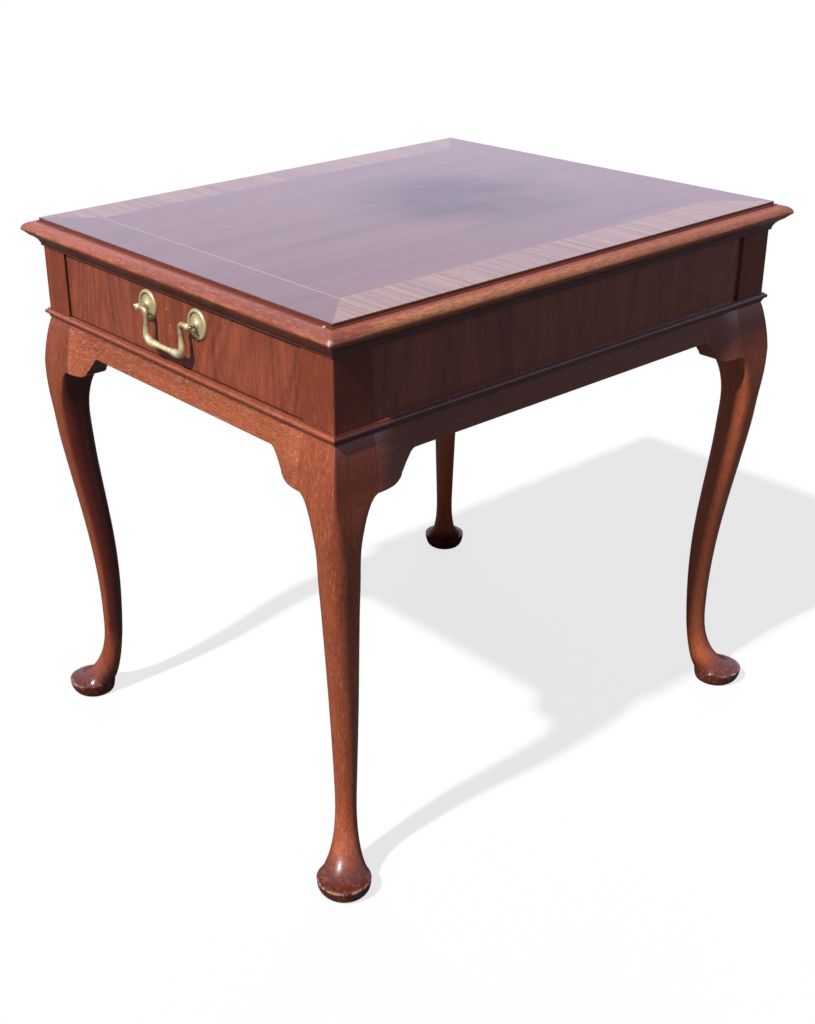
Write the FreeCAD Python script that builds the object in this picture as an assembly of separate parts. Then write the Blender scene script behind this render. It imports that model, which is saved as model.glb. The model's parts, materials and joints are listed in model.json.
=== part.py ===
import FreeCAD, Part
import math
import os

# Side table with one drawer in its short end, four cabriole legs on pad feet and a
# crossbanded veneer top. Millimetres, +Z up, origin on the floor under the middle of the
# table. The drawer end faces -Y.

# Overall case, measured over the outer faces of the leg posts
TABLE_HEIGHT = 610.0
CASE_WIDTH = 507.0
CASE_DEPTH = 622.0
POST = 44.5
POST_EDGE_RADIUS = 1.5

# Stack of heights, from the top down
TOP_THICKNESS = 19.0
COVE_HEIGHT = 12.0
FRIEZE_HEIGHT = 72.5
APRON_HEIGHT = 37.5
WAIST_HEIGHT = 10.0
KNEE_BLOCK_DROP = 27.0

# Top board, its veneers and its moulded edge
VENEER = 0.8
CROSSBAND_WIDTH = 50.0
STRINGING_WIDTH = 1.0
EDGE_REACH = 17.0
EDGE_STOCK = 30.0
STEP_REACH = 1.2
STEP_HEIGHT = 3.2
LEDGE_WIDTH = 2.5
QUIRK_HEIGHT = 1.0
OVOLO_RISE = 8.3
NOSE_ROUND = 1.2
NOSE_LIP = 1.8
NOSE_UNDERCUT = 6.0

# Cove under the top and moulding at the waist
COVE_REACH = 10.4
COVE_LIP = 0.6
COVE_HOLLOW = 1.0
COVE_FILLET = 1.8
COVE_FILLET_HEIGHT = 2.0
WAIST_REACH = 4.5
WAIST_FILLET = 1.8
WAIST_FILLET_HEIGHT = 1.0
WAIST_BEAD_HEIGHT = 5.2
WAIST_FOOT = 0.6

# Frieze panels, aprons and their joints
PANEL_THICKNESS = 18.0
PANEL_RECESS = 3.0
APRON_THICKNESS = 22.0
TENON_THICKNESS = 8.0
TENON_SETBACK = 8.0
TENON_LENGTH = 20.0
TENON_SHOULDER = 4.0
JOINT_PLAY = 0.1

# Cabriole leg: front line, back line and pad foot
KNEE_SWELL = 11.2
KNEE_CREST_DROP = 26.0
HOLLOW_DROP = 52.0
HOLLOW_INSET = 28.2
CALF_HEIGHT = 165.0
CALF_INSET = 39.7
ANKLE_HEIGHT = 105.0
ANKLE_DIAMETER = 23.0
HEEL_SWEEP = 9.0
FLARE_DROP = 12.0
FOOT_REACH = 25.4
FOOT_RIM_HEIGHT = 16.5
FOOT_TOE_TUCK = 9.0
FOOT_HEEL_TUCK = 4.5
PAD_CROWN = 0.6
PAD_HOLLOW = 1.9
PAD_STATIONS = 10
LINE_BIAS = 0.85
KNEE_ARRIS_RADIUS = 3.5
HOLLOW_ROUNDNESS = 0.72
ANKLE_ROUNDNESS = 0.98

# Knee blocks
KNEE_BLOCK_LENGTH = 53.5
KNEE_COVE_RADIUS = 10.0
KNEE_SLOPE_DEGREES = 50.0
KNEE_LOBE_CUSP = 0.8
KNEE_LOBE_HEIGHT = 8.5
KNEE_LOBE_LENGTH = 16.0
FAIRING_SINK = 0.4
FAIRING_STATIONS = 5

# Framing inside the case
RUNNER_HEIGHT = 18.0
RUNNER_REACH = 19.0
GUIDE_HEIGHT = 13.0
BEARER_DEPTH = 44.0
TOP_RAIL_DEPTH = 55.0
KICKER_GAP = 1.5
CORNER_BLOCK_LEG = 45.0
CORNER_BLOCK_HEIGHT = 16.0
STOP_WIDTH = 30.0
STOP_DEPTH = 12.0
STOP_HEIGHT = 5.0
STOP_INSET = 44.0
STOP_GAP = 0.3

# Drawer
DRAWER_RECESS = 2.0
DRAWER_GAP = 1.2
DRAWER_SIDE_PLAY = 1.0
DRAWER_RUN_PLAY = 0.3
DRAWER_FRONT_THICKNESS = 19.0
DRAWER_FACE_VENEER = 1.0
DRAWER_SIDE_THICKNESS = 11.0
DRAWER_SIDE_DROP = 7.2
DRAWER_BACK_THICKNESS = 12.0
DRAWER_BACK_DROP = 4.0
DRAWER_BACK_GAP = 28.0
DRAWER_BOTTOM_THICKNESS = 6.0
DRAWER_BOTTOM_RAISE = 7.0
GROOVE_DEPTH = 5.0
DOVETAIL_LAP = 12.0
DOVETAIL_COUNT = 3
DOVETAIL_SLOPE = 2.0
DOVETAIL_FILL = 0.58

# Bail pull
PULL_SPACING = 88.0
PULL_DROP = 21.0
ROSETTE_DIAMETER = 31.5
ROSETTE_EDGE = 0.6
ROSETTE_RIM_HEIGHT = 2.4
ROSETTE_RIM_WIDTH = 4.5
ROSETTE_GROOVE = 0.75
ROSETTE_DISH = 1.1
ROSETTE_BOSS_DIAMETER = 9.0
ROSETTE_BOSS_HEIGHT = 4.0
ROSETTE_BOSS_TAPER = 1.2
POST_SHANK_DIAMETER = 4.6
POST_NECK_DIAMETER = 5.0
POST_BALL_DIAMETER = 7.8
POST_TIP_DIAMETER = 2.4
HINGE_REACH = 11.8
BAIL_PIN_DIAMETER = 3.0
BAIL_PIN_PLAY = 0.08
BAIL_PIN_GAP = 0.4
BAIL_BUTTON_DIAMETER = 4.2
BAIL_BUTTON_WIDTH = 1.8
BAIL_SHOULDER_DIAMETER = 5.8
BAIL_END_RUN = 5.2
BAIL_BEND_RADIUS = 4.5
BAIL_FLARE = 3.0
BAIL_DROP = 33.0
BAIL_CORNER_RADIUS = 9.0
BAIL_ARM_DIAMETER = 5.0
BAIL_SWELL_DIAMETER = 7.4
BAIL_WAIST_DIAMETER = 5.4
BAIL_WAIST_LENGTH = 20.0
BAIL_COLLAR_DIAMETER = 6.6
BAIL_COLLAR_WIDTH = 1.5
NUT_ACROSS_FLATS = 8.0
NUT_THICKNESS = 4.0

# Wood screws
SCREW_DIAMETER = 4.5
SCREW_HEAD_DIAMETER = 8.6
SCREW_HEAD_HEIGHT = 3.0
SCREW_POINT = 5.0
TOP_SCREW_GRIP = 11.0
CORNER_SCREW_LENGTH = 46.0
RUNNER_SCREW_GRIP = 14.0
SCREWS_PER_SIDE = 3
RAIL_SCREW_INSET = 79.0

# Heights worked out from the stack
TOP_UNDER = TABLE_HEIGHT - TOP_THICKNESS
COVE_UNDER = TOP_UNDER - COVE_HEIGHT
APRON_TOP = COVE_UNDER - FRIEZE_HEIGHT
APRON_UNDER = APRON_TOP - APRON_HEIGHT
WAIST_UNDER = APRON_TOP - WAIST_HEIGHT
KNEE_UNDER = APRON_UNDER - KNEE_BLOCK_DROP
KNEE_CREST = KNEE_UNDER - KNEE_CREST_DROP
HOLLOW = KNEE_UNDER - HOLLOW_DROP
FLARE_HEIGHT = ANKLE_HEIGHT - FLARE_DROP
RUNNER_UNDER = APRON_TOP - RUNNER_HEIGHT
PULL_HEIGHT = COVE_UNDER - PULL_DROP
CORE_TOP = TABLE_HEIGHT - VENEER

# Plan sizes: half widths of the case and of the raised panel of the top
HALF_X = CASE_WIDTH / 2
HALF_Y = CASE_DEPTH / 2
OPENING = HALF_X - POST
APRON_INNER_X = HALF_X - APRON_THICKNESS
APRON_INNER_Y = HALF_Y - APRON_THICKNESS
PANEL_INNER_X = HALF_X - PANEL_RECESS - PANEL_THICKNESS
PANEL_INNER_Y = HALF_Y - PANEL_RECESS - PANEL_THICKNESS
POST_INNER_Y = HALF_Y - POST
RUNNER_INNER = OPENING - RUNNER_REACH
GUIDE_OUTER = min(APRON_INNER_X, PANEL_INNER_X)

# Drawer faces
DRAWER_FACE = -(HALF_Y - DRAWER_RECESS)
DRAWER_FRONT_BACK = DRAWER_FACE + DRAWER_FRONT_THICKNESS
DRAWER_END = PANEL_INNER_Y - DRAWER_BACK_GAP
DRAWER_OUTER = OPENING - DRAWER_SIDE_PLAY
DRAWER_INNER = DRAWER_OUTER - DRAWER_SIDE_THICKNESS
DRAWER_UNDER = APRON_TOP + DRAWER_RUN_PLAY
DRAWER_SIDE_TOP = COVE_UNDER - DRAWER_SIDE_DROP
DRAWER_BACK_TOP = DRAWER_SIDE_TOP - DRAWER_BACK_DROP
BOTTOM_UNDER = DRAWER_UNDER + DRAWER_BOTTOM_RAISE
BOTTOM_TOP = BOTTOM_UNDER + DRAWER_BOTTOM_THICKNESS
KICKER_UNDER = DRAWER_SIDE_TOP + KICKER_GAP

# Each side of the table: its half run, its half depth and its turn from the front
SIDES = {
    "front": (HALF_X, HALF_Y, 0),
    "right": (HALF_Y, HALF_X, 90),
    "back": (HALF_X, HALF_Y, 180),
    "left": (HALF_Y, HALF_X, 270),
}

# Each corner: its place and the turn that points a leg outwards
CORNERS = {
    "back_right": (HALF_X, HALF_Y, 0),
    "back_left": (-HALF_X, HALF_Y, 90),
    "front_left": (-HALF_X, -HALF_Y, 180),
    "front_right": (HALF_X, -HALF_Y, 270),
}

PIECES = {}


def vec(x, y, z):
    return FreeCAD.Vector(x, y, z)


UP = vec(0, 0, 1)
CENTRE = vec(0, 0, 0)


def block(x, y, z):
    """Box between three pairs of low and high values."""
    size = (x[1] - x[0], y[1] - y[0], z[1] - z[0])
    return Part.makeBox(*size, vec(x[0], y[0], z[0]))


def turned(shape, angle):
    """Copy of a shape turned about the middle of the table."""
    copy = shape.copy()
    copy.rotate(CENTRE, UP, angle)
    return copy


def mirrored_x(shape):
    return shape.mirror(CENTRE, vec(1, 0, 0))


def closed_face(start, moves, place):
    """Face inside an outline of lines (points), arcs (through, end) and quarter ellipses.

    A quarter ellipse is written ("quarter", centre, end).
    """
    edges = []
    here = start
    for move in moves + [start]:
        if move[0] == "quarter":
            edges.append(quarter_ellipse(place(*here), place(*move[1]), place(*move[2])))
            here = move[2]
        elif isinstance(move[0], tuple):
            edges.append(Part.Arc(place(*here), place(*move[0]), place(*move[1])).toShape())
            here = move[1]
        elif move != here:
            edges.append(Part.makeLine(place(*here), place(*move)))
            here = move
    return Part.Face(Part.Wire(edges))


def quarter_ellipse(start, centre, end):
    """Quarter of an ellipse from one of its apexes to the next."""
    first, second = start - centre, end - centre
    if first.Length >= second.Length:
        ellipse = Part.Ellipse(start, end, centre)
    else:
        ellipse = Part.Ellipse(end, start, centre)
    return Part.ArcOfEllipse(ellipse, 0, math.pi / 2).toShape()


def ease(t):
    """Half a cosine wave, level at 0 and at 1."""
    return (1 - math.cos(math.pi * t)) / 2


def mitre_wedge(half_run, half_depth, reach, low, high):
    """Space that one side's mouldings may fill between the mitres of the two corners."""
    outer, inner = reach, -min(half_run, half_depth) / 2
    plan = [(-half_run - outer, outer), (half_run + outer, outer),
            (half_run + inner, inner), (-half_run - inner, inner)]
    face = closed_face(plan[0], plan[1:], lambda s, o: vec(s, -half_depth - o, low))
    return face.extrude(vec(0, 0, high - low))


def mitred_strip(profile, side):
    """Moulding of one section along a side, cut at its mitres.

    The profile is a start and its moves, as distance out from the case face and height.
    """
    half_run, half_depth, angle = SIDES[side]
    length = half_run + EDGE_STOCK + EDGE_REACH
    place = lambda o, z: vec(-length, -half_depth - o, z)
    strip = closed_face(profile[0], profile[1], place).extrude(vec(2 * length, 0, 0))
    box = strip.BoundBox
    wedge = mitre_wedge(half_run, half_depth, EDGE_STOCK, box.ZMin - 1, box.ZMax + 1)
    return turned(strip.common(wedge), angle)


def flat_frame(outer, inner, low, high):
    """Profile of a flat band, as distances out from the case face."""
    return (inner, low), [(outer, low), (outer, high), (inner, high)]


def make_top():
    core_x = HALF_X + EDGE_REACH - EDGE_STOCK
    core_y = HALF_Y + EDGE_REACH - EDGE_STOCK
    core = block((-core_x, core_x), (-core_y, core_y), (TOP_UNDER, CORE_TOP))
    PIECES["top_core"] = core.cut(Part.makeCompound(top_screws(JOINT_PLAY)))

    band_in = STEP_REACH - CROSSBAND_WIDTH
    line_in = band_in - STRINGING_WIDTH
    field_x, field_y = HALF_X + line_in, HALF_Y + line_in
    PIECES["top_field_veneer"] = block(
        (-field_x, field_x), (-field_y, field_y), (CORE_TOP, TABLE_HEIGHT))
    lines = []
    for side in SIDES:
        band = flat_frame(STEP_REACH, band_in, CORE_TOP, TABLE_HEIGHT)
        PIECES["crossband_" + side] = mitred_strip(band, side)
        lines.append(mitred_strip(flat_frame(band_in, line_in, CORE_TOP, TABLE_HEIGHT), side))
        PIECES["top_edge_" + side] = mitred_strip(edge_profile(), side)
        PIECES["cove_moulding_" + side] = cove_moulding(side)
        PIECES["waist_moulding_" + side] = mitred_strip(waist_profile(), side)
    PIECES["stringing_lines"] = Part.makeCompound(lines)


def edge_profile():
    """Step, ledge, quirk and rounded nose of the solid edge of the top."""
    ledge = STEP_REACH + LEDGE_WIDTH
    ledge_z = TABLE_HEIGHT - STEP_HEIGHT
    quirk_z = ledge_z - QUIRK_HEIGHT
    nose_z = quirk_z - OVOLO_RISE
    lip = EDGE_REACH - NOSE_ROUND
    return (EDGE_REACH - EDGE_STOCK, TOP_UNDER), [
        (EDGE_REACH - EDGE_STOCK, CORE_TOP), (STEP_REACH, CORE_TOP),
        (STEP_REACH, ledge_z), (ledge, ledge_z), (ledge, quirk_z),
        ("quarter", (ledge, nose_z), (EDGE_REACH, nose_z)),
        ("quarter", (lip, nose_z), (lip, nose_z - NOSE_LIP)),
        (EDGE_REACH - NOSE_UNDERCUT, TOP_UNDER)]


def cove_moulding(side):
    """Cove planted under the top, filled out between the posts to the recessed panels."""
    foot_z = COVE_UNDER + COVE_FILLET_HEIGHT
    lip_z = TOP_UNDER - COVE_LIP
    middle = ((COVE_REACH + COVE_FILLET) / 2, (lip_z + foot_z) / 2)
    hollow = (middle[0] - COVE_HOLLOW, middle[1] + COVE_HOLLOW)
    profile = (0, COVE_UNDER), [
        (0, TOP_UNDER), (COVE_REACH, TOP_UNDER), (COVE_REACH, lip_z),
        (hollow, (COVE_FILLET, foot_z)), (COVE_FILLET, COVE_UNDER)]
    half_run, half_depth, angle = SIDES[side]
    clear = half_run - POST
    filler = block((-clear, clear), (-half_depth, PANEL_RECESS - half_depth),
                   (COVE_UNDER, TOP_UNDER))
    return mitred_strip(profile, side).fuse(turned(filler, angle)).removeSplitter()


def waist_profile():
    """Small fillet, bead and hollow of the moulding between frieze and apron."""
    bead_top = APRON_TOP - WAIST_FILLET_HEIGHT
    bead_under = bead_top - WAIST_BEAD_HEIGHT
    bead_back = WAIST_FILLET + WAIST_FOOT
    nose = (WAIST_REACH, (bead_top + bead_under) / 2)
    hollow = (WAIST_FOOT + WAIST_FILLET / 4, (bead_under + WAIST_UNDER) / 2)
    return (0, WAIST_UNDER), [
        (0, APRON_TOP), (WAIST_FILLET, APRON_TOP), (WAIST_FILLET, bead_top),
        (nose, (bead_back, bead_under)),
        (hollow, (WAIST_FOOT, WAIST_UNDER))]


def front_line(z):
    """Distance of the leg's front faces out from the post face, from the ankle up."""
    if z >= KNEE_CREST:
        t = (WAIST_UNDER - z) / (WAIST_UNDER - KNEE_CREST)
        return KNEE_SWELL * math.sin(math.pi / 2 * max(t, 0) ** LINE_BIAS)
    ankle = back_line(ANKLE_HEIGHT) + ANKLE_DIAMETER
    t = (KNEE_CREST - z) / (KNEE_CREST - ANKLE_HEIGHT)
    return KNEE_SWELL + (ankle - KNEE_SWELL) * ease(t ** LINE_BIAS)


def back_line(z):
    """Distance of the leg's back faces out from the post face, which is below zero."""
    if z >= HOLLOW:
        t = (z - HOLLOW) / HOLLOW_DROP
        return -HOLLOW_INSET - (POST - HOLLOW_INSET) * (1 - math.sqrt(max(1 - t * t, 0)))
    if z >= CALF_HEIGHT:
        t = (HOLLOW - z) / (HOLLOW - CALF_HEIGHT)
        return -HOLLOW_INSET - (CALF_INSET - HOLLOW_INSET) * ease(t)
    t = (CALF_HEIGHT - z) / (CALF_HEIGHT - FOOT_RIM_HEIGHT)
    return -CALF_INSET + HEEL_SWEEP * t * t


def toe_line(z):
    """Distance of the front of the round ankle out from the post face, down to the pad's rim."""
    ankle = back_line(ANKLE_HEIGHT) + ANKLE_DIAMETER
    t = (z - FOOT_RIM_HEIGHT) / (FLARE_HEIGHT - FOOT_RIM_HEIGHT)
    flare = max(1 - max(t, 0) ** PAD_CROWN, 0) ** PAD_HOLLOW
    return ankle + (FOOT_REACH - ankle) * flare


def pad_heights():
    """Heights from the flare of the ankle down to the rim, closer where the pad is flatter."""
    heights = []
    for k in range(PAD_STATIONS + 1):
        t = (1 - (k / PAD_STATIONS) ** (1 / PAD_HOLLOW)) ** (1 / PAD_CROWN)
        heights.append(FOOT_RIM_HEIGHT + (FLARE_HEIGHT - FOOT_RIM_HEIGHT) * t)
    return heights


def leg_section(z):
    """Rounded square of the leg at one height, below the knee blocks."""
    back = back_line(z)
    front = toe_line(z) if z <= ANKLE_HEIGHT else front_line(z)
    half = (front - back) / 2
    if z <= ANKLE_HEIGHT:
        return rounded_square(back, front, ANKLE_ROUNDNESS * half, z)
    if z <= HOLLOW:
        t = (z - ANKLE_HEIGHT) / (HOLLOW - ANKLE_HEIGHT)
        radius = half * (ANKLE_ROUNDNESS + (HOLLOW_ROUNDNESS - ANKLE_ROUNDNESS) * t)
    else:
        t = (z - HOLLOW) / HOLLOW_DROP
        radius = half * HOLLOW_ROUNDNESS * (1 - t) + KNEE_ARRIS_RADIUS * t
    return rounded_square(back, front, radius, z)


def rounded_square(low, high, radius, z):
    """Wire of four lines and four arcs, the same in x and y."""
    middle = (low + high) / 2
    half = (high - low) / 2
    flat, bulge = half - radius, half - radius + radius * math.sqrt(0.5)
    edges = []
    for turn in range(4):
        c, s = math.cos(turn * math.pi / 2), math.sin(turn * math.pi / 2)
        put = lambda a, b: vec(middle + a * c - b * s, middle + a * s + b * c, z)
        edges.append(Part.makeLine(put(half, -flat), put(half, flat)))
        edges.append(Part.Arc(put(half, flat), put(bulge, bulge), put(flat, half)).toShape())
    return Part.Wire(edges)


def knee_section(z):
    """Square of the leg beside the knee blocks, rounded on its outer corner alone."""
    t = (WAIST_UNDER - z) / (WAIST_UNDER - KNEE_UNDER)
    radius = POST_EDGE_RADIUS + (KNEE_ARRIS_RADIUS - POST_EDGE_RADIUS) * t
    front = front_line(z)
    flat, bulge = front - radius, front - radius + radius * math.sqrt(0.5)
    face = closed_face((-POST, -POST), [
        (front, -POST), (front, flat), ((bulge, bulge), (flat, front)), (-POST, front)],
        lambda x, y: vec(x, y, z))
    return face.OuterWire


def spaced(start, end, count):
    """Even heights from start towards end, without the end."""
    return [start + (end - start) * k / count for k in range(count)]


KNEE_HEIGHTS = spaced(KNEE_UNDER, WAIST_UNDER, 5) + [WAIST_UNDER]


def cabriole_leg():
    """Leg, knee and post in one piece, with the case corner at the origin."""
    heights = (spaced(KNEE_UNDER, HOLLOW, 5) + spaced(HOLLOW, ANKLE_HEIGHT, 9)
               + [ANKLE_HEIGHT] + pad_heights())
    shaft = Part.makeLoft([leg_section(z) for z in heights], True, False)
    knee = Part.makeLoft([knee_section(z) for z in KNEE_HEIGHTS], True, False)
    post = block((-POST, 0), (-POST, 0), (WAIST_UNDER, TOP_UNDER))
    corner = [e for e in post.Edges if e.BoundBox.XMin > -1e-6 and e.BoundBox.YMin > -1e-6]
    post = post.makeFillet(POST_EDGE_RADIUS, corner)
    return shaft.fuse([pad_base(), knee, post]).removeSplitter()


def pad_base():
    """Underside of the pad, rounded in from the rim to the floor."""
    heel = back_line(FOOT_RIM_HEIGHT)
    rings = []
    for k in range(PAD_STATIONS // 2 + 1):
        a = math.pi * k / (2 * (PAD_STATIONS // 2))
        tuck = 1 - math.cos(a)
        low, high = heel + FOOT_HEEL_TUCK * tuck, FOOT_REACH - FOOT_TOE_TUCK * tuck
        rings.append(rounded_square(low, high, ANKLE_ROUNDNESS * (high - low) / 2,
                                    FOOT_RIM_HEIGHT * (1 - math.sin(a))))
    return Part.makeLoft(rings, True, False)


def tenon(side, end, low, high, play=0.0):
    """Tenon of a rail at one end of a side, or its mortise when play is given."""
    half_run, half_depth, angle = SIDES[side]
    shoulder = half_run - POST
    near, far = TENON_SETBACK - half_depth, TENON_SETBACK + TENON_THICKNESS - half_depth
    piece = block((shoulder, shoulder + TENON_LENGTH + play), (near - play, far + play),
                  (low - play, high + play))
    return turned(piece if end > 0 else mirrored_x(piece), angle)


def tenon_heights(low, high):
    return low + TENON_SHOULDER, high - TENON_SHOULDER


def rail_tenons(side, play=0.0):
    """Tenons at both ends of the apron, and of the frieze panel where the side has one."""
    stacks = [(APRON_UNDER, APRON_TOP)]
    if side != "front":
        stacks.append((APRON_TOP, TOP_UNDER))
    return [tenon(side, end, *tenon_heights(*stack), play) for stack in stacks for end in (1, -1)]


def top_rail_tenons(play=0.0):
    """Flat tenons of the rail over the drawer, or their mortises when play is given."""
    near = PANEL_RECESS + TENON_SHOULDER - HALF_Y
    right = block((OPENING, OPENING + TENON_LENGTH + play),
                  (near - play, -POST_INNER_Y - TENON_SHOULDER + play),
                  (COVE_UNDER + TENON_SHOULDER / 2 - play, TOP_UNDER - TENON_SHOULDER / 2 + play))
    return [right, mirrored_x(right)]


def make_legs():
    leg = cabriole_leg()
    mortises = top_rail_tenons(JOINT_PLAY)
    for side in SIDES:
        mortises += rail_tenons(side, JOINT_PLAY)
    mortises += corner_screws(JOINT_PLAY)
    for name, (x, y, angle) in CORNERS.items():
        placed = turned(leg, angle)
        placed.translate(vec(x, y, 0))
        near = [m for m in mortises if m.BoundBox.intersect(placed.BoundBox)]
        PIECES["leg_" + name] = placed.cut(near)


def knee_fairing(half_run, half_depth):
    """Swelling that carries the knee out along the apron, at the right end of a side."""
    back = -APRON_THICKNESS
    wires = []
    for k in range(FAIRING_STATIONS):
        t = k / (FAIRING_STATIONS - 1)
        x = half_run - POST - KNEE_BLOCK_LENGTH * t
        place = lambda o, z: vec(x, -half_depth - o, z)
        fade = 1 - ease(t)
        curve = Part.BSplineCurve()
        curve.interpolate([place(front_line(z) * fade - FAIRING_SINK * (1 - fade), z)
                           for z in KNEE_HEIGHTS])
        first, last = curve.StartPoint, curve.EndPoint
        low, high = place(back, KNEE_UNDER), place(back, WAIST_UNDER)
        wires.append(Part.Wire([Part.makeLine(low, first), curve.toShape(),
                                Part.makeLine(last, high), Part.makeLine(high, low)]))
    return Part.makeLoft(wires, True, False)


def knee_block(half_run, half_depth, fairing):
    """Scrolled bracket under the apron: a small hollow, a slope, a cusp and a flat lobe."""
    start, end = POST, POST + KNEE_BLOCK_LENGTH
    slope = math.radians(KNEE_SLOPE_DEGREES)
    bend = lambda a: (end - KNEE_COVE_RADIUS * math.sin(a),
                      APRON_UNDER - KNEE_COVE_RADIUS * (1 - math.cos(a)))
    cusp_z = KNEE_UNDER + KNEE_LOBE_HEIGHT
    cusp_x = bend(slope)[0] - (bend(slope)[1] - cusp_z) / math.tan(slope)
    lobe_x = cusp_x - KNEE_LOBE_CUSP
    foot_x = lobe_x - KNEE_LOBE_LENGTH
    outside = half_depth + 2 * KNEE_SWELL
    face = closed_face((start, APRON_UNDER), [
        (end, APRON_UNDER), (bend(slope / 2), bend(slope)), (cusp_x, cusp_z), (lobe_x, cusp_z),
        ("quarter", (foot_x, cusp_z), (foot_x, KNEE_UNDER)), (start, KNEE_UNDER)],
        lambda s, z: vec(half_run - s, -outside, z))
    return fairing.common(face.extrude(vec(0, outside, 0)))


def make_aprons():
    over = block((-CASE_DEPTH, CASE_DEPTH), (-CASE_DEPTH, CASE_DEPTH), (APRON_UNDER, APRON_TOP))
    runner_holes = runner_screws(JOINT_PLAY)
    for side, (half_run, half_depth, angle) in SIDES.items():
        clear = half_run - POST
        rail = block((-clear, clear), (-half_depth, APRON_THICKNESS - half_depth),
                     (APRON_UNDER, APRON_TOP))
        fairing = knee_fairing(half_run, half_depth)
        swell = fairing.common(over)
        rail = rail.fuse([swell, mirrored_x(swell)])
        tenons = [t for t in rail_tenons(side) if t.BoundBox.ZMax < APRON_TOP]
        apron = turned(rail, angle).fuse(tenons).removeSplitter()
        holes = [h for h in runner_holes if h.BoundBox.intersect(apron.BoundBox)]
        PIECES["apron_" + side] = apron.cut(holes) if holes else apron

        right = knee_block(half_run, half_depth, fairing)
        ends = {"front": ("left", "right"), "right": ("front", "back"),
                "back": ("right", "left"), "left": ("back", "front")}[side]
        PIECES["knee_block_%s_%s" % (side, ends[1])] = turned(right, angle)
        PIECES["knee_block_%s_%s" % (side, ends[0])] = turned(mirrored_x(right), angle)


def make_friezes():
    for side in ("right", "back", "left"):
        half_run, half_depth, angle = SIDES[side]
        clear = half_run - POST
        outer = PANEL_RECESS - half_depth
        panel = block((-clear, clear), (outer, outer + PANEL_THICKNESS), (APRON_TOP, TOP_UNDER))
        tenons = [t for t in rail_tenons(side) if t.BoundBox.ZMin > APRON_TOP]
        PIECES["frieze_panel_" + side] = turned(panel, angle).fuse(tenons).removeSplitter()


def screw(length, tip, aim, play=0.0):
    """Countersunk screw whose head is flush at the point tip - aim * length."""
    shank, head = SCREW_DIAMETER / 2 + play, SCREW_HEAD_DIAMETER / 2 + play
    start = tip - aim * length
    cone = Part.makeCone(head, shank, SCREW_HEAD_HEIGHT, start, aim)
    body = Part.makeCylinder(shank, length - SCREW_POINT, start, aim)
    point = Part.makeCone(shank, SCREW_DIAMETER / 8 + play, SCREW_POINT,
                          tip - aim * SCREW_POINT, aim)
    return body.fuse([cone, point])


def along(half, count):
    """Evenly spread places along a line that runs from -half to half."""
    return [half * (2 * (k + 0.5) / count - 1) for k in range(count)]


def top_screws(play=0.0):
    """Screws up through the kickers and the front rail into the top."""
    tip = TOP_UNDER + TOP_SCREW_GRIP
    kicker_x = (RUNNER_INNER + PANEL_INNER_X) / 2
    rail_x = OPENING - RAIL_SCREW_INSET
    screws = [screw(tip - KICKER_UNDER, vec(x, y, tip), UP, play)
              for x in (-kicker_x, kicker_x) for y in along(POST_INNER_Y, SCREWS_PER_SIDE)]
    for x in (-rail_x, rail_x):
        screws.append(screw(tip - COVE_UNDER, vec(x, -POST_INNER_Y, tip), UP, play))
    return screws


def corner_screws(play=0.0):
    """Screws through the corner blocks into the inner corners of the posts."""
    screws = []
    root = math.sqrt(0.5)
    face = POST + (CORNER_BLOCK_LEG - POST + APRON_THICKNESS) / 2
    z = RUNNER_UNDER - CORNER_BLOCK_HEIGHT / 2
    for x, y, _ in CORNERS.values():
        sx, sy = math.copysign(1, x), math.copysign(1, y)
        aim = vec(sx * root, sy * root, 0)
        start = vec(x - sx * face, y - sy * face, z)
        screws.append(screw(CORNER_SCREW_LENGTH, start + aim * CORNER_SCREW_LENGTH, aim, play))
    return screws


def runner_screws(play=0.0):
    """Screws through the runners into the side aprons."""
    screws = []
    z = (RUNNER_UNDER + APRON_TOP) / 2
    reach = APRON_INNER_X + RUNNER_SCREW_GRIP
    for sign in (-1, 1):
        for y in along(POST_INNER_Y, SCREWS_PER_SIDE):
            screws.append(screw(reach - RUNNER_INNER, vec(sign * reach, y, z),
                                vec(sign, 0, 0), play))
    return screws


def corner_block(x, y, angle):
    """Glue block in the corner of two aprons, notched round the post."""
    inner, post, leg = -APRON_THICKNESS, -POST, -POST - CORNER_BLOCK_LEG
    plan = [(post, inner), (leg, inner), (inner, leg), (inner, post), (post, post)]
    face = closed_face(plan[0], plan[1:], lambda a, b: vec(a, b, RUNNER_UNDER))
    piece = turned(face.extrude(vec(0, 0, -CORNER_BLOCK_HEIGHT)), angle)
    piece.translate(vec(x, y, 0))
    return piece


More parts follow.
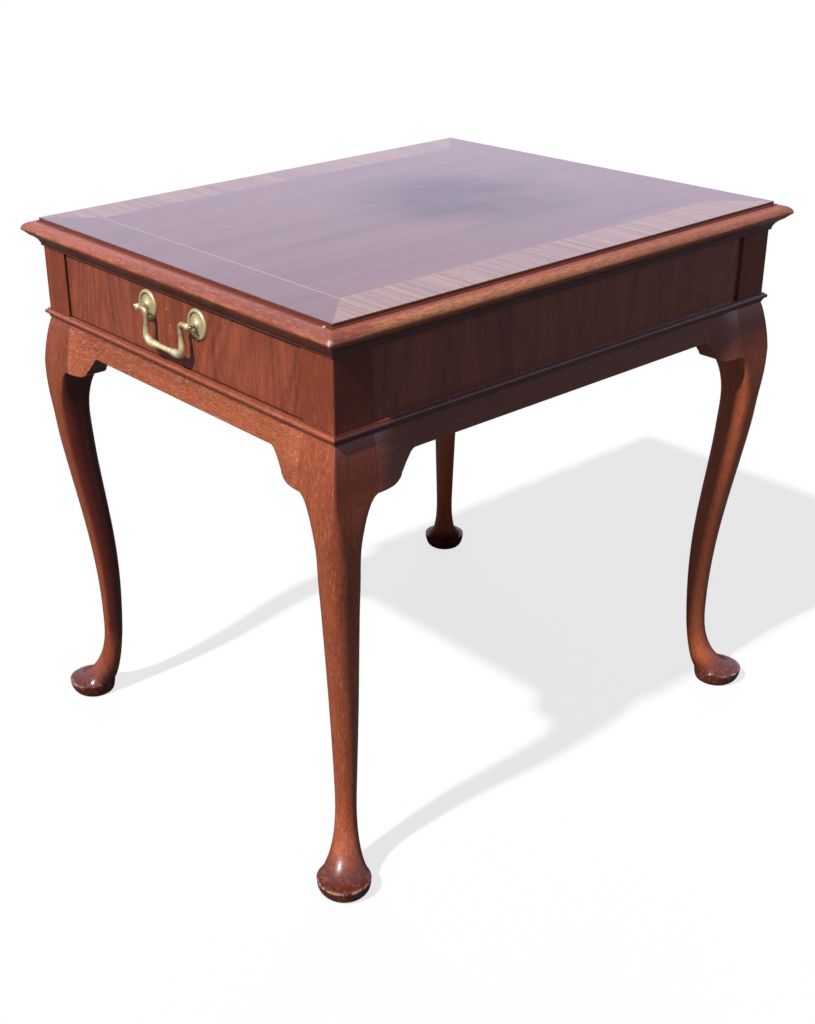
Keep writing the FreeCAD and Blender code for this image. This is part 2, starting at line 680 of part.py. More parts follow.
def make_framing():
    holes = Part.makeCompound(corner_screws(JOINT_PLAY))
    PIECES["corner_blocks"] = Part.makeCompound(
        [corner_block(*corner).cut(holes) for corner in CORNERS.values()])
    PIECES["corner_screws"] = Part.makeCompound(corner_screws())
    PIECES["runner_screws"] = Part.makeCompound(runner_screws())
    PIECES["top_screws"] = Part.makeCompound(top_screws())

    runner = block((RUNNER_INNER, OPENING), (-APRON_INNER_Y, APRON_INNER_Y),
                   (RUNNER_UNDER, APRON_TOP))
    ledge = block((OPENING, APRON_INNER_X), (-POST_INNER_Y, POST_INNER_Y),
                  (RUNNER_UNDER, APRON_TOP))
    guide = block((OPENING, GUIDE_OUTER), (-POST_INNER_Y, POST_INNER_Y),
                  (APRON_TOP, APRON_TOP + GUIDE_HEIGHT))
    runner = runner.fuse([ledge, guide]).removeSplitter()
    rail_back = PANEL_RECESS + TOP_RAIL_DEPTH - HALF_Y
    kicker = block((RUNNER_INNER, OPENING), (rail_back, PANEL_INNER_Y), (KICKER_UNDER, TOP_UNDER))
    cleat = block((OPENING, PANEL_INNER_X), (rail_back, POST_INNER_Y), (KICKER_UNDER, TOP_UNDER))
    kicker = kicker.fuse(cleat).removeSplitter()
    runner_holes = Part.makeCompound(runner_screws(JOINT_PLAY))
    top_holes = Part.makeCompound(top_screws(JOINT_PLAY))
    PIECES["drawer_runner_right"] = runner.cut(runner_holes)
    PIECES["drawer_runner_left"] = mirrored_x(runner).cut(runner_holes)
    PIECES["drawer_kicker_right"] = kicker.cut(top_holes)
    PIECES["drawer_kicker_left"] = mirrored_x(kicker).cut(top_holes)

    rail = block((-OPENING, OPENING), (PANEL_RECESS - HALF_Y, rail_back), (COVE_UNDER, TOP_UNDER))
    PIECES["drawer_top_rail"] = rail.fuse(top_rail_tenons()).removeSplitter().cut(top_holes)
    PIECES["drawer_bearer"] = block((-RUNNER_INNER, RUNNER_INNER),
                                    (-APRON_INNER_Y, BEARER_DEPTH - APRON_INNER_Y),
                                    (RUNNER_UNDER, APRON_TOP))
    stop_x, stop_y = OPENING - STOP_INSET, DRAWER_FRONT_BACK + STOP_GAP
    stop = block((stop_x - STOP_WIDTH, stop_x), (stop_y, stop_y + STOP_DEPTH),
                 (APRON_TOP, APRON_TOP + STOP_HEIGHT))
    PIECES["drawer_stops"] = Part.makeCompound([stop, mirrored_x(stop)])


def dovetails(baseline, depth, low, high):
    """Tails on a drawer side, seen from the side, wider at their ends than at the baseline."""
    pitch = (high - low) / DOVETAIL_COUNT
    half = pitch * DOVETAIL_FILL / 2
    tails = []
    for k in range(DOVETAIL_COUNT):
        z = low + pitch * (k + 0.5)
        end = baseline + depth
        plan = [(baseline, z - half), (end, z - half - DOVETAIL_SLOPE),
                (end, z + half + DOVETAIL_SLOPE), (baseline, z + half)]
        face = closed_face(plan[0], plan[1:], lambda y, h: vec(DRAWER_INNER, y, h))
        tails.append(face.extrude(vec(DRAWER_SIDE_THICKNESS, 0, 0)))
    return tails


def make_drawer():
    back_near = DRAWER_END - DRAWER_BACK_THICKNESS
    front_tails = dovetails(DRAWER_FRONT_BACK, -DOVETAIL_LAP, DRAWER_UNDER, DRAWER_SIDE_TOP)
    back_tails = dovetails(back_near, DRAWER_BACK_THICKNESS, BOTTOM_TOP, DRAWER_BACK_TOP)
    slab = block((DRAWER_INNER, DRAWER_OUTER), (DRAWER_FRONT_BACK, back_near),
                 (DRAWER_UNDER, DRAWER_SIDE_TOP))
    raw_side = slab.fuse(front_tails + back_tails).removeSplitter()
    side_blank = Part.makeCompound([raw_side, mirrored_x(raw_side)])

    reach = DRAWER_INNER + GROOVE_DEPTH
    groove = block((-reach - JOINT_PLAY, reach + JOINT_PLAY),
                   (DRAWER_FRONT_BACK - GROOVE_DEPTH - JOINT_PLAY, DRAWER_END),
                   (BOTTOM_UNDER - JOINT_PLAY, BOTTOM_TOP + JOINT_PLAY))
    side = raw_side.cut(groove)
    PIECES["drawer_side_right"] = side
    PIECES["drawer_side_left"] = mirrored_x(side)
    PIECES["drawer_bottom"] = block((-reach, reach), (DRAWER_FRONT_BACK - GROOVE_DEPTH, DRAWER_END),
                                    (BOTTOM_UNDER, BOTTOM_TOP))
    PIECES["drawer_back"] = block((-DRAWER_OUTER, DRAWER_OUTER), (back_near, DRAWER_END),
                                  (BOTTOM_TOP + JOINT_PLAY, DRAWER_BACK_TOP)).cut(side_blank)

    half = OPENING - DRAWER_GAP
    face_z = (APRON_TOP + DRAWER_GAP, COVE_UNDER - DRAWER_GAP)
    core_face = DRAWER_FACE + DRAWER_FACE_VENEER
    holes = Part.makeCompound([
        Part.makeCylinder(POST_SHANK_DIAMETER / 2 + JOINT_PLAY, DRAWER_FRONT_THICKNESS,
                          vec(x, DRAWER_FACE, PULL_HEIGHT), vec(0, 1, 0)) for x in pull_places()])
    front = block((-half, half), (core_face, DRAWER_FRONT_BACK), face_z)
    PIECES["drawer_front"] = front.cut([side_blank, groove, holes])
    PIECES["drawer_front_veneer"] = block((-half, half), (DRAWER_FACE, core_face), face_z).cut(holes)


def pull_places():
    return (-PULL_SPACING / 2, PULL_SPACING / 2)


def turned_piece(start, moves, x):
    """Round piece of the pull, drawn as radius and distance out from the drawer's face."""
    face = closed_face(start, moves,
                       lambda r, t: vec(x + r, DRAWER_FACE - t, PULL_HEIGHT))
    return face.revolve(vec(x, DRAWER_FACE, PULL_HEIGHT), vec(0, 1, 0), 360)


def rosette(x):
    """Round back plate: rolled rim, groove, dished field and a boss round the post."""
    bore = POST_SHANK_DIAMETER / 2 + JOINT_PLAY
    rim, boss = ROSETTE_DIAMETER / 2, ROSETTE_BOSS_DIAMETER / 2
    field = rim - ROSETTE_RIM_WIDTH
    crown = boss - ROSETTE_BOSS_TAPER
    shoulder = (ROSETTE_RIM_HEIGHT + ROSETTE_BOSS_HEIGHT) / 2
    return turned_piece((bore, 0), [
        (rim, 0), (rim, ROSETTE_EDGE),
        (((rim + field) / 2, ROSETTE_RIM_HEIGHT), (field, ROSETTE_GROOVE)),
        (((field + boss) / 2, ROSETTE_DISH), (boss, ROSETTE_RIM_HEIGHT)),
        ((boss - ROSETTE_BOSS_TAPER / 3, shoulder), (crown, ROSETTE_BOSS_HEIGHT)),
        (bore, ROSETTE_BOSS_HEIGHT)], x)


def pull_post(x):
    """Stud through the drawer front with a ball head, bored for the end of the bail."""
    shank, neck = POST_SHANK_DIAMETER / 2, POST_NECK_DIAMETER / 2
    ball, flat = POST_BALL_DIAMETER / 2, POST_TIP_DIAMETER / 2
    inner = -DRAWER_FRONT_THICKNESS - NUT_THICKNESS - shank
    low = HINGE_REACH - math.sqrt(ball ** 2 - neck ** 2)
    tip = HINGE_REACH + math.sqrt(ball ** 2 - flat ** 2)
    stud = turned_piece((0, inner), [
        (shank, inner), (shank, ROSETTE_BOSS_HEIGHT), (neck, ROSETTE_BOSS_HEIGHT), (neck, low),
        ((ball, HINGE_REACH), (flat, tip)), (0, tip)], x)
    hinge = vec(x - ball, DRAWER_FACE - HINGE_REACH, PULL_HEIGHT)
    bore = Part.makeCylinder(BAIL_PIN_DIAMETER / 2 + BAIL_PIN_PLAY, 2 * ball, hinge, vec(1, 0, 0))
    return stud.cut(bore)


def pull_nut(x):
    """Hexagonal nut on the stud, inside the drawer."""
    corner = NUT_ACROSS_FLATS / math.sqrt(3)
    points = [(x + corner * math.cos(math.radians(60 * k)),
               PULL_HEIGHT + corner * math.sin(math.radians(60 * k))) for k in range(6)]
    face = closed_face(points[0], points[1:], lambda a, b: vec(a, DRAWER_FRONT_BACK, b))
    bore = Part.makeCylinder(POST_SHANK_DIAMETER / 2 + JOINT_PLAY, NUT_THICKNESS,
                             vec(x, DRAWER_FRONT_BACK, PULL_HEIGHT), vec(0, 1, 0))
    return face.extrude(vec(0, NUT_THICKNESS, 0)).cut(bore)


def bail_path():
    """Centre line of the bail's right arm: place, angle below level and diameter.

    Places are across from the middle and down from the hinge. The bail leaves the hinge
    inwards, bends down, bows out along its arm and turns in to the collar on the hand bar.
    """
    arm, swell, waist = BAIL_ARM_DIAMETER, BAIL_SWELL_DIAMETER, BAIL_WAIST_DIAMETER
    shoulder = BAIL_SHOULDER_DIAMETER
    start = (PULL_SPACING - POST_BALL_DIAMETER) / 2 - BAIL_PIN_GAP
    bend, corner = BAIL_BEND_RADIUS, BAIL_CORNER_RADIUS
    turn = start - BAIL_END_RUN
    top_x = turn - bend
    bottom_x = top_x + BAIL_FLARE
    arm_end = BAIL_DROP - corner
    run = arm_end - bend
    path = [(start, 0, 180, shoulder), ((start + turn) / 2, 0, 180, shoulder),
            (turn, 0, 180, shoulder)]
    for k in (1, 2, 3):
        a = math.radians(30 * k)
        path.append((turn - bend * math.sin(a), bend * (1 - math.cos(a)), 180 - 30 * k,
                     shoulder + (arm - shoulder) * k / 3))
    for k in (1, 2, 3):
        t = k / 4
        slope = BAIL_FLARE / run * math.pi / 2 * math.sin(math.pi * t)
        path.append((top_x + BAIL_FLARE * ease(t), bend + run * t,
                     90 - math.degrees(math.atan(slope)), arm + (swell - arm) * t * t / 2))
    for k in range(4):
        a = math.radians(30 * k)
        path.append((bottom_x - corner * (1 - math.cos(a)), arm_end + corner * math.sin(a),
                     90 + 30 * k, swell - (swell - arm) * (3 - k) / 6))
    bar = bottom_x - corner
    collar_middle = BAIL_WAIST_LENGTH / 2 + BAIL_COLLAR_WIDTH / 2
    for t, size in ((0.4, swell), (0.8, (swell + waist) / 2), (1.0, waist)):
        path.append((bar + (collar_middle - bar) * t, BAIL_DROP, 180, size))
    return path


def make_bail():
    hinge_y = DRAWER_FACE - HINGE_REACH
    wires = []
    for out, down, angle, diameter in bail_path():
        a = math.radians(angle)
        aim = vec(math.cos(a), 0, -math.sin(a))
        place = vec(out, hinge_y, PULL_HEIGHT - down)
        wires.append(Part.Wire(Part.makeCircle(diameter / 2, place, aim)))
    half = Part.makeLoft(wires, True, False)
    across = vec(1, 0, 0)
    start = bail_path()[0][0] - BAIL_PIN_DIAMETER / 2
    pin_end = (PULL_SPACING + POST_BALL_DIAMETER) / 2 + BAIL_PIN_GAP
    pin = Part.makeCylinder(BAIL_PIN_DIAMETER / 2, pin_end - start,
                            vec(start, hinge_y, PULL_HEIGHT), across)
    button = Part.makeCylinder(BAIL_BUTTON_DIAMETER / 2, BAIL_BUTTON_WIDTH,
                               vec(pin_end, hinge_y, PULL_HEIGHT), across)
    rim = [e for e in button.Edges if e.BoundBox.XMin > pin_end + BAIL_BUTTON_WIDTH / 2]
    button = button.makeFillet(BAIL_BUTTON_WIDTH / 2, rim)
    collar = Part.makeCylinder(BAIL_COLLAR_DIAMETER / 2, BAIL_COLLAR_WIDTH,
                               vec(BAIL_WAIST_LENGTH / 2, hinge_y, PULL_HEIGHT - BAIL_DROP), across)
    half = half.fuse([pin, button, collar])
    waist_end = bail_path()[-1][0]
    waist = Part.makeCylinder(BAIL_WAIST_DIAMETER / 2, 2 * waist_end,
                              vec(-waist_end, hinge_y, PULL_HEIGHT - BAIL_DROP), across)
    return half.fuse([mirrored_x(half), waist]).removeSplitter()


def make_pull():
    PIECES["pull_rosettes"] = Part.makeCompound([rosette(x) for x in pull_places()])
    PIECES["pull_posts"] = Part.makeCompound([pull_post(x) for x in pull_places()])
    PIECES["pull_nuts"] = Part.makeCompound([pull_nut(x) for x in pull_places()])
    PIECES["pull_bail"] = make_bail()


def main():
    make_top()
    make_legs()
    make_aprons()
    make_friezes()
    make_framing()
    make_drawer()
    make_pull()
    os.makedirs("parts", exist_ok=True)
    for name, shape in PIECES.items():
        shape.exportStep(os.path.join("parts", name + ".step"))
        print(name, len(shape.Solids), shape.isValid(), round(shape.Volume))


main()
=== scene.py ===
"""Looks of a side table with an end drawer: wood finishes, brass pull, screws and stage."""

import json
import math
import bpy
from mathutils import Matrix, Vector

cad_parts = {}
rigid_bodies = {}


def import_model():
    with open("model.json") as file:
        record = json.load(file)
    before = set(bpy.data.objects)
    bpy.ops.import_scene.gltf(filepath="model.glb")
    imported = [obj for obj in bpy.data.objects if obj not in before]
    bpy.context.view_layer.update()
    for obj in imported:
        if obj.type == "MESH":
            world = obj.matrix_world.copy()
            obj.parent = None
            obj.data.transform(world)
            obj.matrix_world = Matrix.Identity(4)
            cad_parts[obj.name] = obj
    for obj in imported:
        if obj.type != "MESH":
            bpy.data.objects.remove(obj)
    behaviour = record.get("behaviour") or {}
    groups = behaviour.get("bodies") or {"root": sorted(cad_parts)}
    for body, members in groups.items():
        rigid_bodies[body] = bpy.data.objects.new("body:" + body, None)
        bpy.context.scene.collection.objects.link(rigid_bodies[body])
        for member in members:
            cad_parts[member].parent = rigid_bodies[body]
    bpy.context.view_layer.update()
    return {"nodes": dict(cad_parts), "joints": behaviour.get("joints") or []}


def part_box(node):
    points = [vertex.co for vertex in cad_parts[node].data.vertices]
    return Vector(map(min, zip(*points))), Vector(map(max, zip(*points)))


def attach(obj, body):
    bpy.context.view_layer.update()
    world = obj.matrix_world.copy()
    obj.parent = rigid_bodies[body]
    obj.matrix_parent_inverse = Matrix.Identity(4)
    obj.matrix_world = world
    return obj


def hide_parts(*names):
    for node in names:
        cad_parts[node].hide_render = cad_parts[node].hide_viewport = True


bl_info = {
    "name": "Side Table Looks",
    "version": (1, 0, 0),
    "blender": (4, 5, 0),
    "location": "View3D > Sidebar > Side Table",
    "description": "Finishes a veneered side table with cabriole legs and sets it on a plain stage",
    "category": "Object",
}

import bmesh
import bpy
from bpy.props import FloatProperty, FloatVectorProperty, IntProperty, PointerProperty
from mathutils import Matrix, Vector

for leftover in list(bpy.data.objects):
    bpy.data.objects.remove(leftover)
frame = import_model()
NODES = frame["nodes"]

AXES = {"x": 0, "y": 1, "z": 2}

HINGE = Vector(next(j for j in frame["joints"] if j["name"] == "bail_swing")["pos_m"])

# Places on the table that the wear and the screws go by
NOSE_BELOW_TOP = 0.0117
POST_X, POST_Y = 0.2535, 0.311
BLOCK_FACE_IN = 0.05575
SCREW_ROW = 0.2665
RAIL_TENON, RAIL_SCREW_IN = 0.020, 0.079
BLOCK_SCREW = 0.046

# Shares of the bail's bar and arms where its thickness and its tarnish with painted reflection
# change
BAR_EVEN, ARM_EVEN = 0.72, 0.75
TARNISH_AND_REFLECTION_START, TARNISH_AND_REFLECTION_FULL = 0.75, 0.35

# Steps of the bail's sweep, turned rings on the plates and turn from one screw slot to the next
BEND_STEPS, BAIL_STEP, BAIL_SIDES = 14, 0.0004, 24
RING_WIDTH, RING_START, RING_FULL = 0.0024, 0.0055, 0.0070
SLOT_TURN = 1.3

# Depths of the relief in the finishes
GRAIN_DEPTH, RAW_DEPTH = 0.00018, 0.00020
LACQUER_DEPTH, LINE_DEPTH = 0.00010, 0.00008
METAL_DEPTH = 0.00003

# Numbers of the sockets of a Mix node that blends colours
MIX_FACTOR, MIX_FIRST, MIX_SECOND, MIX_RESULT = 0, 6, 7, 2

# Camera of the photograph, in pixels, degrees and metres
PHOTO_WIDE, PHOTO_HIGH = 815, 1024
FOCAL, MIDDLE_X, MIDDLE_Y = 1407.42, 317.86, 487.72
YAW, PITCH, ROLL = 51.804, 24.822, 1.512
CAMERA_SPOT = (1.1372, -1.0265, 0.9832)
FILM_WIDTH, VIEW_END = 36.0, 200.0

WHITE = (1.0, 1.0, 1.0)
METAL_IN_OTHERS = (0.03, 0.02, 0.01)


def colour(name, default, description):
    """A colour that a user may change."""
    return FloatVectorProperty(name=name, description=description, default=default,
                               subtype="COLOR", size=3, min=0.0, max=1.0)


def length(name, default, description):
    """A size that a user may change."""
    return FloatProperty(name=name, description=description, default=default,
                         unit="LENGTH", min=0.0, precision=5)


def share(name, default, description):
    """A share from none to all that a user may change."""
    return FloatProperty(name=name, description=description, default=default,
                         subtype="FACTOR", min=0.0, max=1.0)


def angle(name, degrees, description):
    """An angle that a user may change."""
    return FloatProperty(name=name, description=description, default=math.radians(degrees),
                         unit="ROTATION")


def strength(name, default, description):
    """Strength of a lamp that a user may change."""
    return FloatProperty(name=name, description=description, default=default, min=0.0)


class WoodColours(bpy.types.PropertyGroup):
    """Colours of the woods and their wear."""

    mahogany: colour("Mahogany", (0.58, 0.134, 0.052), "Solid mahogany of legs and rails")
    mahogany_dark: colour("Mahogany dark", (0.29, 0.060, 0.025), "Dark bands of the mahogany")
    pores: colour("Pores", (0.060, 0.012, 0.008), "Filled pores of the mahogany")
    # Also the colour for darkening, for the painted shade on faces turned to the right and for the
    # dark step of the top's edge
    foot: colour("Foot", (0.092, 0.012, 0.008), "Dark wood of the feet and wine stain elsewhere")
    field: colour("Field", (0.300, 0.092, 0.062), "Veneer in the middle of the top")
    field_dark: colour("Field dark", (0.120, 0.032, 0.026), "Dark grain of the field veneer")
    # Painted dark reflection on the middle of the top
    painted_reflection: colour("Bloom", (0.050, 0.044, 0.080), "Dull patch in the middle of the top")
    band: colour("Crossband", (0.600, 0.300, 0.160), "Crossbands along the long sides")
    band_dark: colour("Crossband dark", (0.235, 0.082, 0.046), "Dark stripes of the crossbands")
    line: colour("Stringing", (0.66, 0.53, 0.43), "Thin line between field and crossbands")
    drawer: colour("Drawer face", (0.500, 0.112, 0.046), "Veneer of the drawer and the friezes")
    drawer_dark: colour("Drawer face dark", (0.220, 0.044, 0.020), "Dark figure of that veneer")
    worn: colour("Worn edge", (0.66, 0.250, 0.108), "Mahogany where the stain has rubbed off")
    fleck: colour("Flecks", (0.80, 0.42, 0.29), "Short pale flecks in the mahogany of the aprons")
    # Painted sunlight over worn finish on the long edges' nose
    sunlit_edge: colour("Golden edge", (0.62, 0.27, 0.115), "Long edge that the light has bleached")
    bare: colour("Bare wood", (0.74, 0.56, 0.42), "Wood where the finish is chipped away")
    lining: colour("Drawer lining", (0.56, 0.39, 0.22), "Drawer sides, back and bottom")
    lining_dark: colour("Drawer lining dark", (0.36, 0.22, 0.11), "Dark grain of the lining")
    inner: colour("Inner wood", (0.50, 0.34, 0.19), "Runners, rails and blocks")
    inner_dark: colour("Inner wood dark", (0.33, 0.20, 0.10), "Dark grain of the inner wood")


class MetalColours(bpy.types.PropertyGroup):
    """Colours of the pull and the screws."""

    brass: colour("Brass", (0.98, 0.85, 0.47), "Rubbed brass")
    brass_dull: colour("Dull brass", (0.66, 0.53, 0.23), "Tarnish in the hollows of the brass")
    # Tarnish with painted reflection of the drawer's wood on the bail's arms
    brass_tarnish_and_reflection: colour("Brown brass", (0.46, 0.25, 0.12), "Tarnish on the bail's arms")
    steel: colour("Steel", (0.42, 0.42, 0.41), "Screw steel")
    steel_dull: colour("Dull steel", (0.20, 0.18, 0.16), "Oxide on the screws")


class Gloss(bpy.types.PropertyGroup):
    """Shine and wear of the finishes."""

    top: share("Top roughness", 0.19, "Roughness of the lacquered top")
    solid: share("Solid roughness", 0.36, "Roughness of the solid mahogany")
    face: share("Face roughness", 0.34, "Roughness of drawer face and friezes")
    raw: share("Raw roughness", 0.72, "Roughness of the unfinished inner wood")
    wear: share("Wear", 0.45, "How far edges are rubbed")
    foot_rim: length("Foot rim", 0.0163, "Height of the rubbed rim of a foot")


class BailSizes(bpy.types.PropertyGroup):
    """Sizes of the bail that swings on the drawer's pull."""

    reach: length("Half reach", 0.0501, "From the middle to the end of one pin")
    pin_end: length("Pin end", 0.0483, "From the middle to the inner face of the button")
    shoulder_x: length("Shoulder", 0.0397, "From the middle to the shoulder beside the stud")
    top_x: length("Arm top", 0.0300, "From the middle to the upper end of an arm")
    bottom_x: length("Arm bottom", 0.0330, "From the middle to the lower end of an arm")
    drop: length("Drop", 0.033, "From the hinge down to the hand bar")
    bend: length("Bend", 0.0045, "Radius of the bends under the studs")
    corner: length("Corner", 0.009, "Radius of the bends beside the hand bar")
    pin: length("Pin", 0.0030, "Diameter of the pins in the studs")
    button: length("Button", 0.0042, "Diameter of the riveted pin ends")
    shoulder: length("Shoulder size", 0.0058, "Diameter at the shoulders")
    arm: length("Arm", 0.0051, "Diameter of the arms")
    swell: length("Swell", 0.0082, "Diameter beside the lower bends")
    waist: length("Waist", 0.0056, "Diameter at the middle of the hand bar")
    collar: length("Collar", 0.0068, "Diameter of the two collars on the hand bar")
    waist_half: length("Half waist", 0.010, "From the middle to a collar")
    collar_width: length("Collar width", 0.0015, "Width of a collar")


class ScrewSizes(bpy.types.PropertyGroup):
    """Sizes of the countersunk wood screws."""

    shank: length("Shank", 0.0044, "Diameter over the threads")
    core: length("Core", 0.0032, "Diameter between the threads")
    head: length("Head", 0.0086, "Diameter of the head")
    head_height: length("Head height", 0.003, "Height of the cone under the head")
    slot: length("Slot", 0.0011, "Width of the slot")
    slot_depth: length("Slot depth", 0.0013, "Depth of the slot")
    pitch: length("Pitch", 0.0018, "Rise of the thread for each turn")
    point: length("Point", 0.005, "Length of the point")
    sides: IntProperty(name="Sides", description="Corners of the round sections", default=20, min=8)


class StageSettings(bpy.types.PropertyGroup):
    """Floor, light and camera."""

    floor_half: length("Floor half width", 40.0, "From the middle of the floor to its edge")
    floor: colour("Floor", (1.0, 1.0, 1.0), "Floor as the camera sees it")
    floor_bounce: colour("Floor bounce", (0.12, 0.12, 0.13), "Floor as it lights the table")
    floor_white: share("Floor white", 0.76, "How far the floor fades into the white background")
    sky: colour("Sky", (0.078, 0.084, 0.102), "Soft light from all round")
    gloss: colour("Glossy sky", (0.72, 0.70, 0.91), "Pale wall that the gloss shows")
    key: strength("Key light", 3.6, "Strength of the key light")
    key_size: angle("Key softness", 2, "Angle that the key light spans")
    key_height: angle("Key height", 48, "Key light above the horizon")
    key_turn: angle("Key turn", 4.5, "Key light to the right of the drawer")
    back: strength("Back light", 0.7, "Strength of the soft light from behind")
    back_size: angle("Back softness", 60, "Angle that the back light spans")
    back_height: angle("Back height", 20, "Back light above the horizon")
    back_turn: angle("Back turn", 232, "Back light to the right of the drawer")


def maths(operation, swapped=False):
    """Method that puts a value and another into a Math node."""
    def add_node(self, other=0.0):
        first, second = (other, self) if swapped else (self, other)
        return self.web.add("ShaderNodeMath", {"operation": operation}, {0: first, 1: second})
    return add_node


class Num:
    """A value in a node tree. Arithmetic on it adds Math nodes."""

    def __init__(self, web, socket):
        self.web = web
        self.socket = socket

    __add__, __radd__ = maths("ADD"), maths("ADD", True)
    __sub__, __rsub__ = maths("SUBTRACT"), maths("SUBTRACT", True)
    __mul__, __rmul__ = maths("MULTIPLY"), maths("MULTIPLY", True)
    __truediv__, __pow__ = maths("DIVIDE"), maths("POWER")
    __gt__, __lt__ = maths("GREATER_THAN"), maths("LESS_THAN")
    __abs__ = maths("ABSOLUTE")


class Web:
    """Adds nodes to one tree, a material's or a shape's."""

    def __init__(self, tree):
        self.tree = tree

    def add(self, kind, settings=None, inputs=None, output=0):
        """New node of a kind, its settings first and then the values or links of its sockets."""
        node = self.tree.nodes.new(kind)
        for name, value in (settings or {}).items():
            setattr(node, name, value)
        for name, value in (inputs or {}).items():
            if isinstance(value, Num):
                self.tree.links.new(value.socket, node.inputs[name])
            else:
                node.inputs[name].default_value = value
        return Num(self, node.outputs[output]) if len(node.outputs) else node

    def smooth(self, value, low, high):
        """Soft step from 0 at low to 1 at high."""
        return self.add("ShaderNodeMapRange", {"interpolation_type": "SMOOTHSTEP"},
                        {"Value": value, "From Min": low, "From Max": high})

    def belt(self, value, start, full, fade, end):
        """1 between two soft steps and 0 outside them."""
        return self.smooth(value, start, full) * (1.0 - self.smooth(value, fade, end))

    def ray(self, kind):
        """1 for rays of a kind."""
        return self.add("ShaderNodeLightPath", output=kind)

    def wave(self, value):
        """Even waves between 0 and 1."""
        return self.add("ShaderNodeMath", {"operation": "SINE"}, {0: value}) * 0.5 + 0.5

    def blend(self, factor, first, second):
        """Mix of two colours."""
        return self.add("ShaderNodeMix", {"data_type": "RGBA"}, {
            MIX_FACTOR: factor, MIX_FIRST: paint(first), MIX_SECOND: paint(second)}, MIX_RESULT)


def paint(value):
    """Colour with its alpha, or a link as it is."""
    return value if isinstance(value, Num) else (*value, 1.0)


class Finish(Web):
    """Material of one finish, with the patterns that the finishes share."""

    def __init__(self, name):
        self.material = bpy.data.materials.new(name)
        self.material.use_nodes = True
        super().__init__(self.material.node_tree)
        self.tree.nodes.clear()
        self.place = self.add("ShaderNodeTexCoord", output="Object")

    def noise(self, cross, along=None, axis="z", detail=2.0, twist=0.0, shift=0.0):
        """Noise with that many patches to the metre across the grain and along it."""
        scale = [cross, cross, cross]
        if along is not None:
            scale[AXES[axis]] = along
        spot = self.add("ShaderNodeMapping", None, {
            "Vector": self.place, "Scale": scale, "Location": (shift, 1.7 * shift, 2.3 * shift)})
        return self.add("ShaderNodeTexNoise", None, {
            "Vector": spot, "Scale": 1.0, "Detail": detail, "Distortion": twist})

    def patches(self, low, high, *pattern):
        """Noise of a pattern, cut softly to 0 below one value and to 1 above another."""
        return self.smooth(self.noise(*pattern), low, high)

    def spread(self, vector=None):
        """The three coordinates of a vector, or of the place."""
        node = self.tree.nodes.new("ShaderNodeSeparateXYZ")
        self.tree.links.new((vector or self.place).socket, node.inputs[0])
        return [Num(self, out) for out in node.outputs]

    def near(self, spot, reach):
        """1 at a spot, fading to 0 at its reach."""
        gap = self.add("ShaderNodeVectorMath", {"operation": "DISTANCE"},
                       {0: self.place, 1: spot}, "Value")
        return 1.0 - self.smooth(gap, reach * 0.25, reach)

    def round_edge(self, radius):
        """Normal with softened edges, and 1 on the edges that it softens."""
        soft = self.add("ShaderNodeBevel", {"samples": 4}, {"Radius": radius})
        flat = self.add("ShaderNodeNewGeometry", output="Normal")
        turn = self.add("ShaderNodeVectorMath", {"operation": "DOT_PRODUCT"},
                        {0: soft, 1: flat}, "Value")
        return soft, self.smooth(1.0 - turn, 0.01, 0.16)

    def hollow(self, reach, alone=True):
        """1 deep in hollows, of the piece alone or also where it meets its neighbours; on the woods
        it paints shade, on the metals it gives tarnish.
        """
        open_share = self.add("ShaderNodeAmbientOcclusion", {"samples": 4, "only_local": alone},
                              {"Distance": reach}, "AO")
        return self.smooth(1.0 - open_share, 0.10, 0.55)

    def surface(self, base, rough, height=None, depth=GRAIN_DEPTH, normal=None, **constants):
        """Shader of the finish, with its relief over a softened normal."""
        inputs = {"Base Color": paint(base), "Roughness": rough}
        if height is not None:
            bump = {"Height": height, "Strength": 0.6, "Distance": depth}
            if normal is not None:
                bump["Normal"] = normal
            normal = self.add("ShaderNodeBump", None, bump)
        if normal is not None:
            inputs["Normal"] = normal
        inputs.update({name.replace("_", " "): value for name, value in constants.items()})
        return self.add("ShaderNodeBsdfPrincipled", None, inputs)

    def end(self, shader):
        """Output of the finish."""
        self.add("ShaderNodeOutputMaterial", None, {"Surface": shader})
        return self.material

    def close(self, *values, **constants):
        """Shader and output of the finish at once."""
        return self.end(self.surface(*values, **constants))


def coat_nodes(names, material):
    """Gives CAD pieces a finish."""
    for name in names:
        mesh = NODES[name].data
        mesh.materials.clear()
        mesh.materials.append(material)


def middle(name):
    """Middle of a CAD piece."""
    low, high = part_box(name)
    return (low + high) / 2


def settings():
    """The scene's settings of this table."""
    return bpy.context.scene.side_table


def grain(finish, axis, shift=0.0, bold=1.0):
    """Tone of mahogany from 0, dark, to 1, light, its fibre and the mask of its pores."""
    figure = finish.noise(24, 2.0, axis, 3.0, 0.9, shift)
    ribbon = finish.noise(130, 4.5, axis, 2.0, 0.4, shift + 3)
    fibre = finish.noise(760, 24, axis, 2.0, 0.0, shift + 5)
    pores = finish.patches(0.56, 0.70, 950, 120, axis, 1.0, 0.0, shift + 7)
    tone = (0.52 + (figure - 0.5) * (1.5 * bold) + (ribbon - 0.5) * (1.1 * bold)
            + (fibre - 0.5) * 0.9)
    return tone, fibre, pores


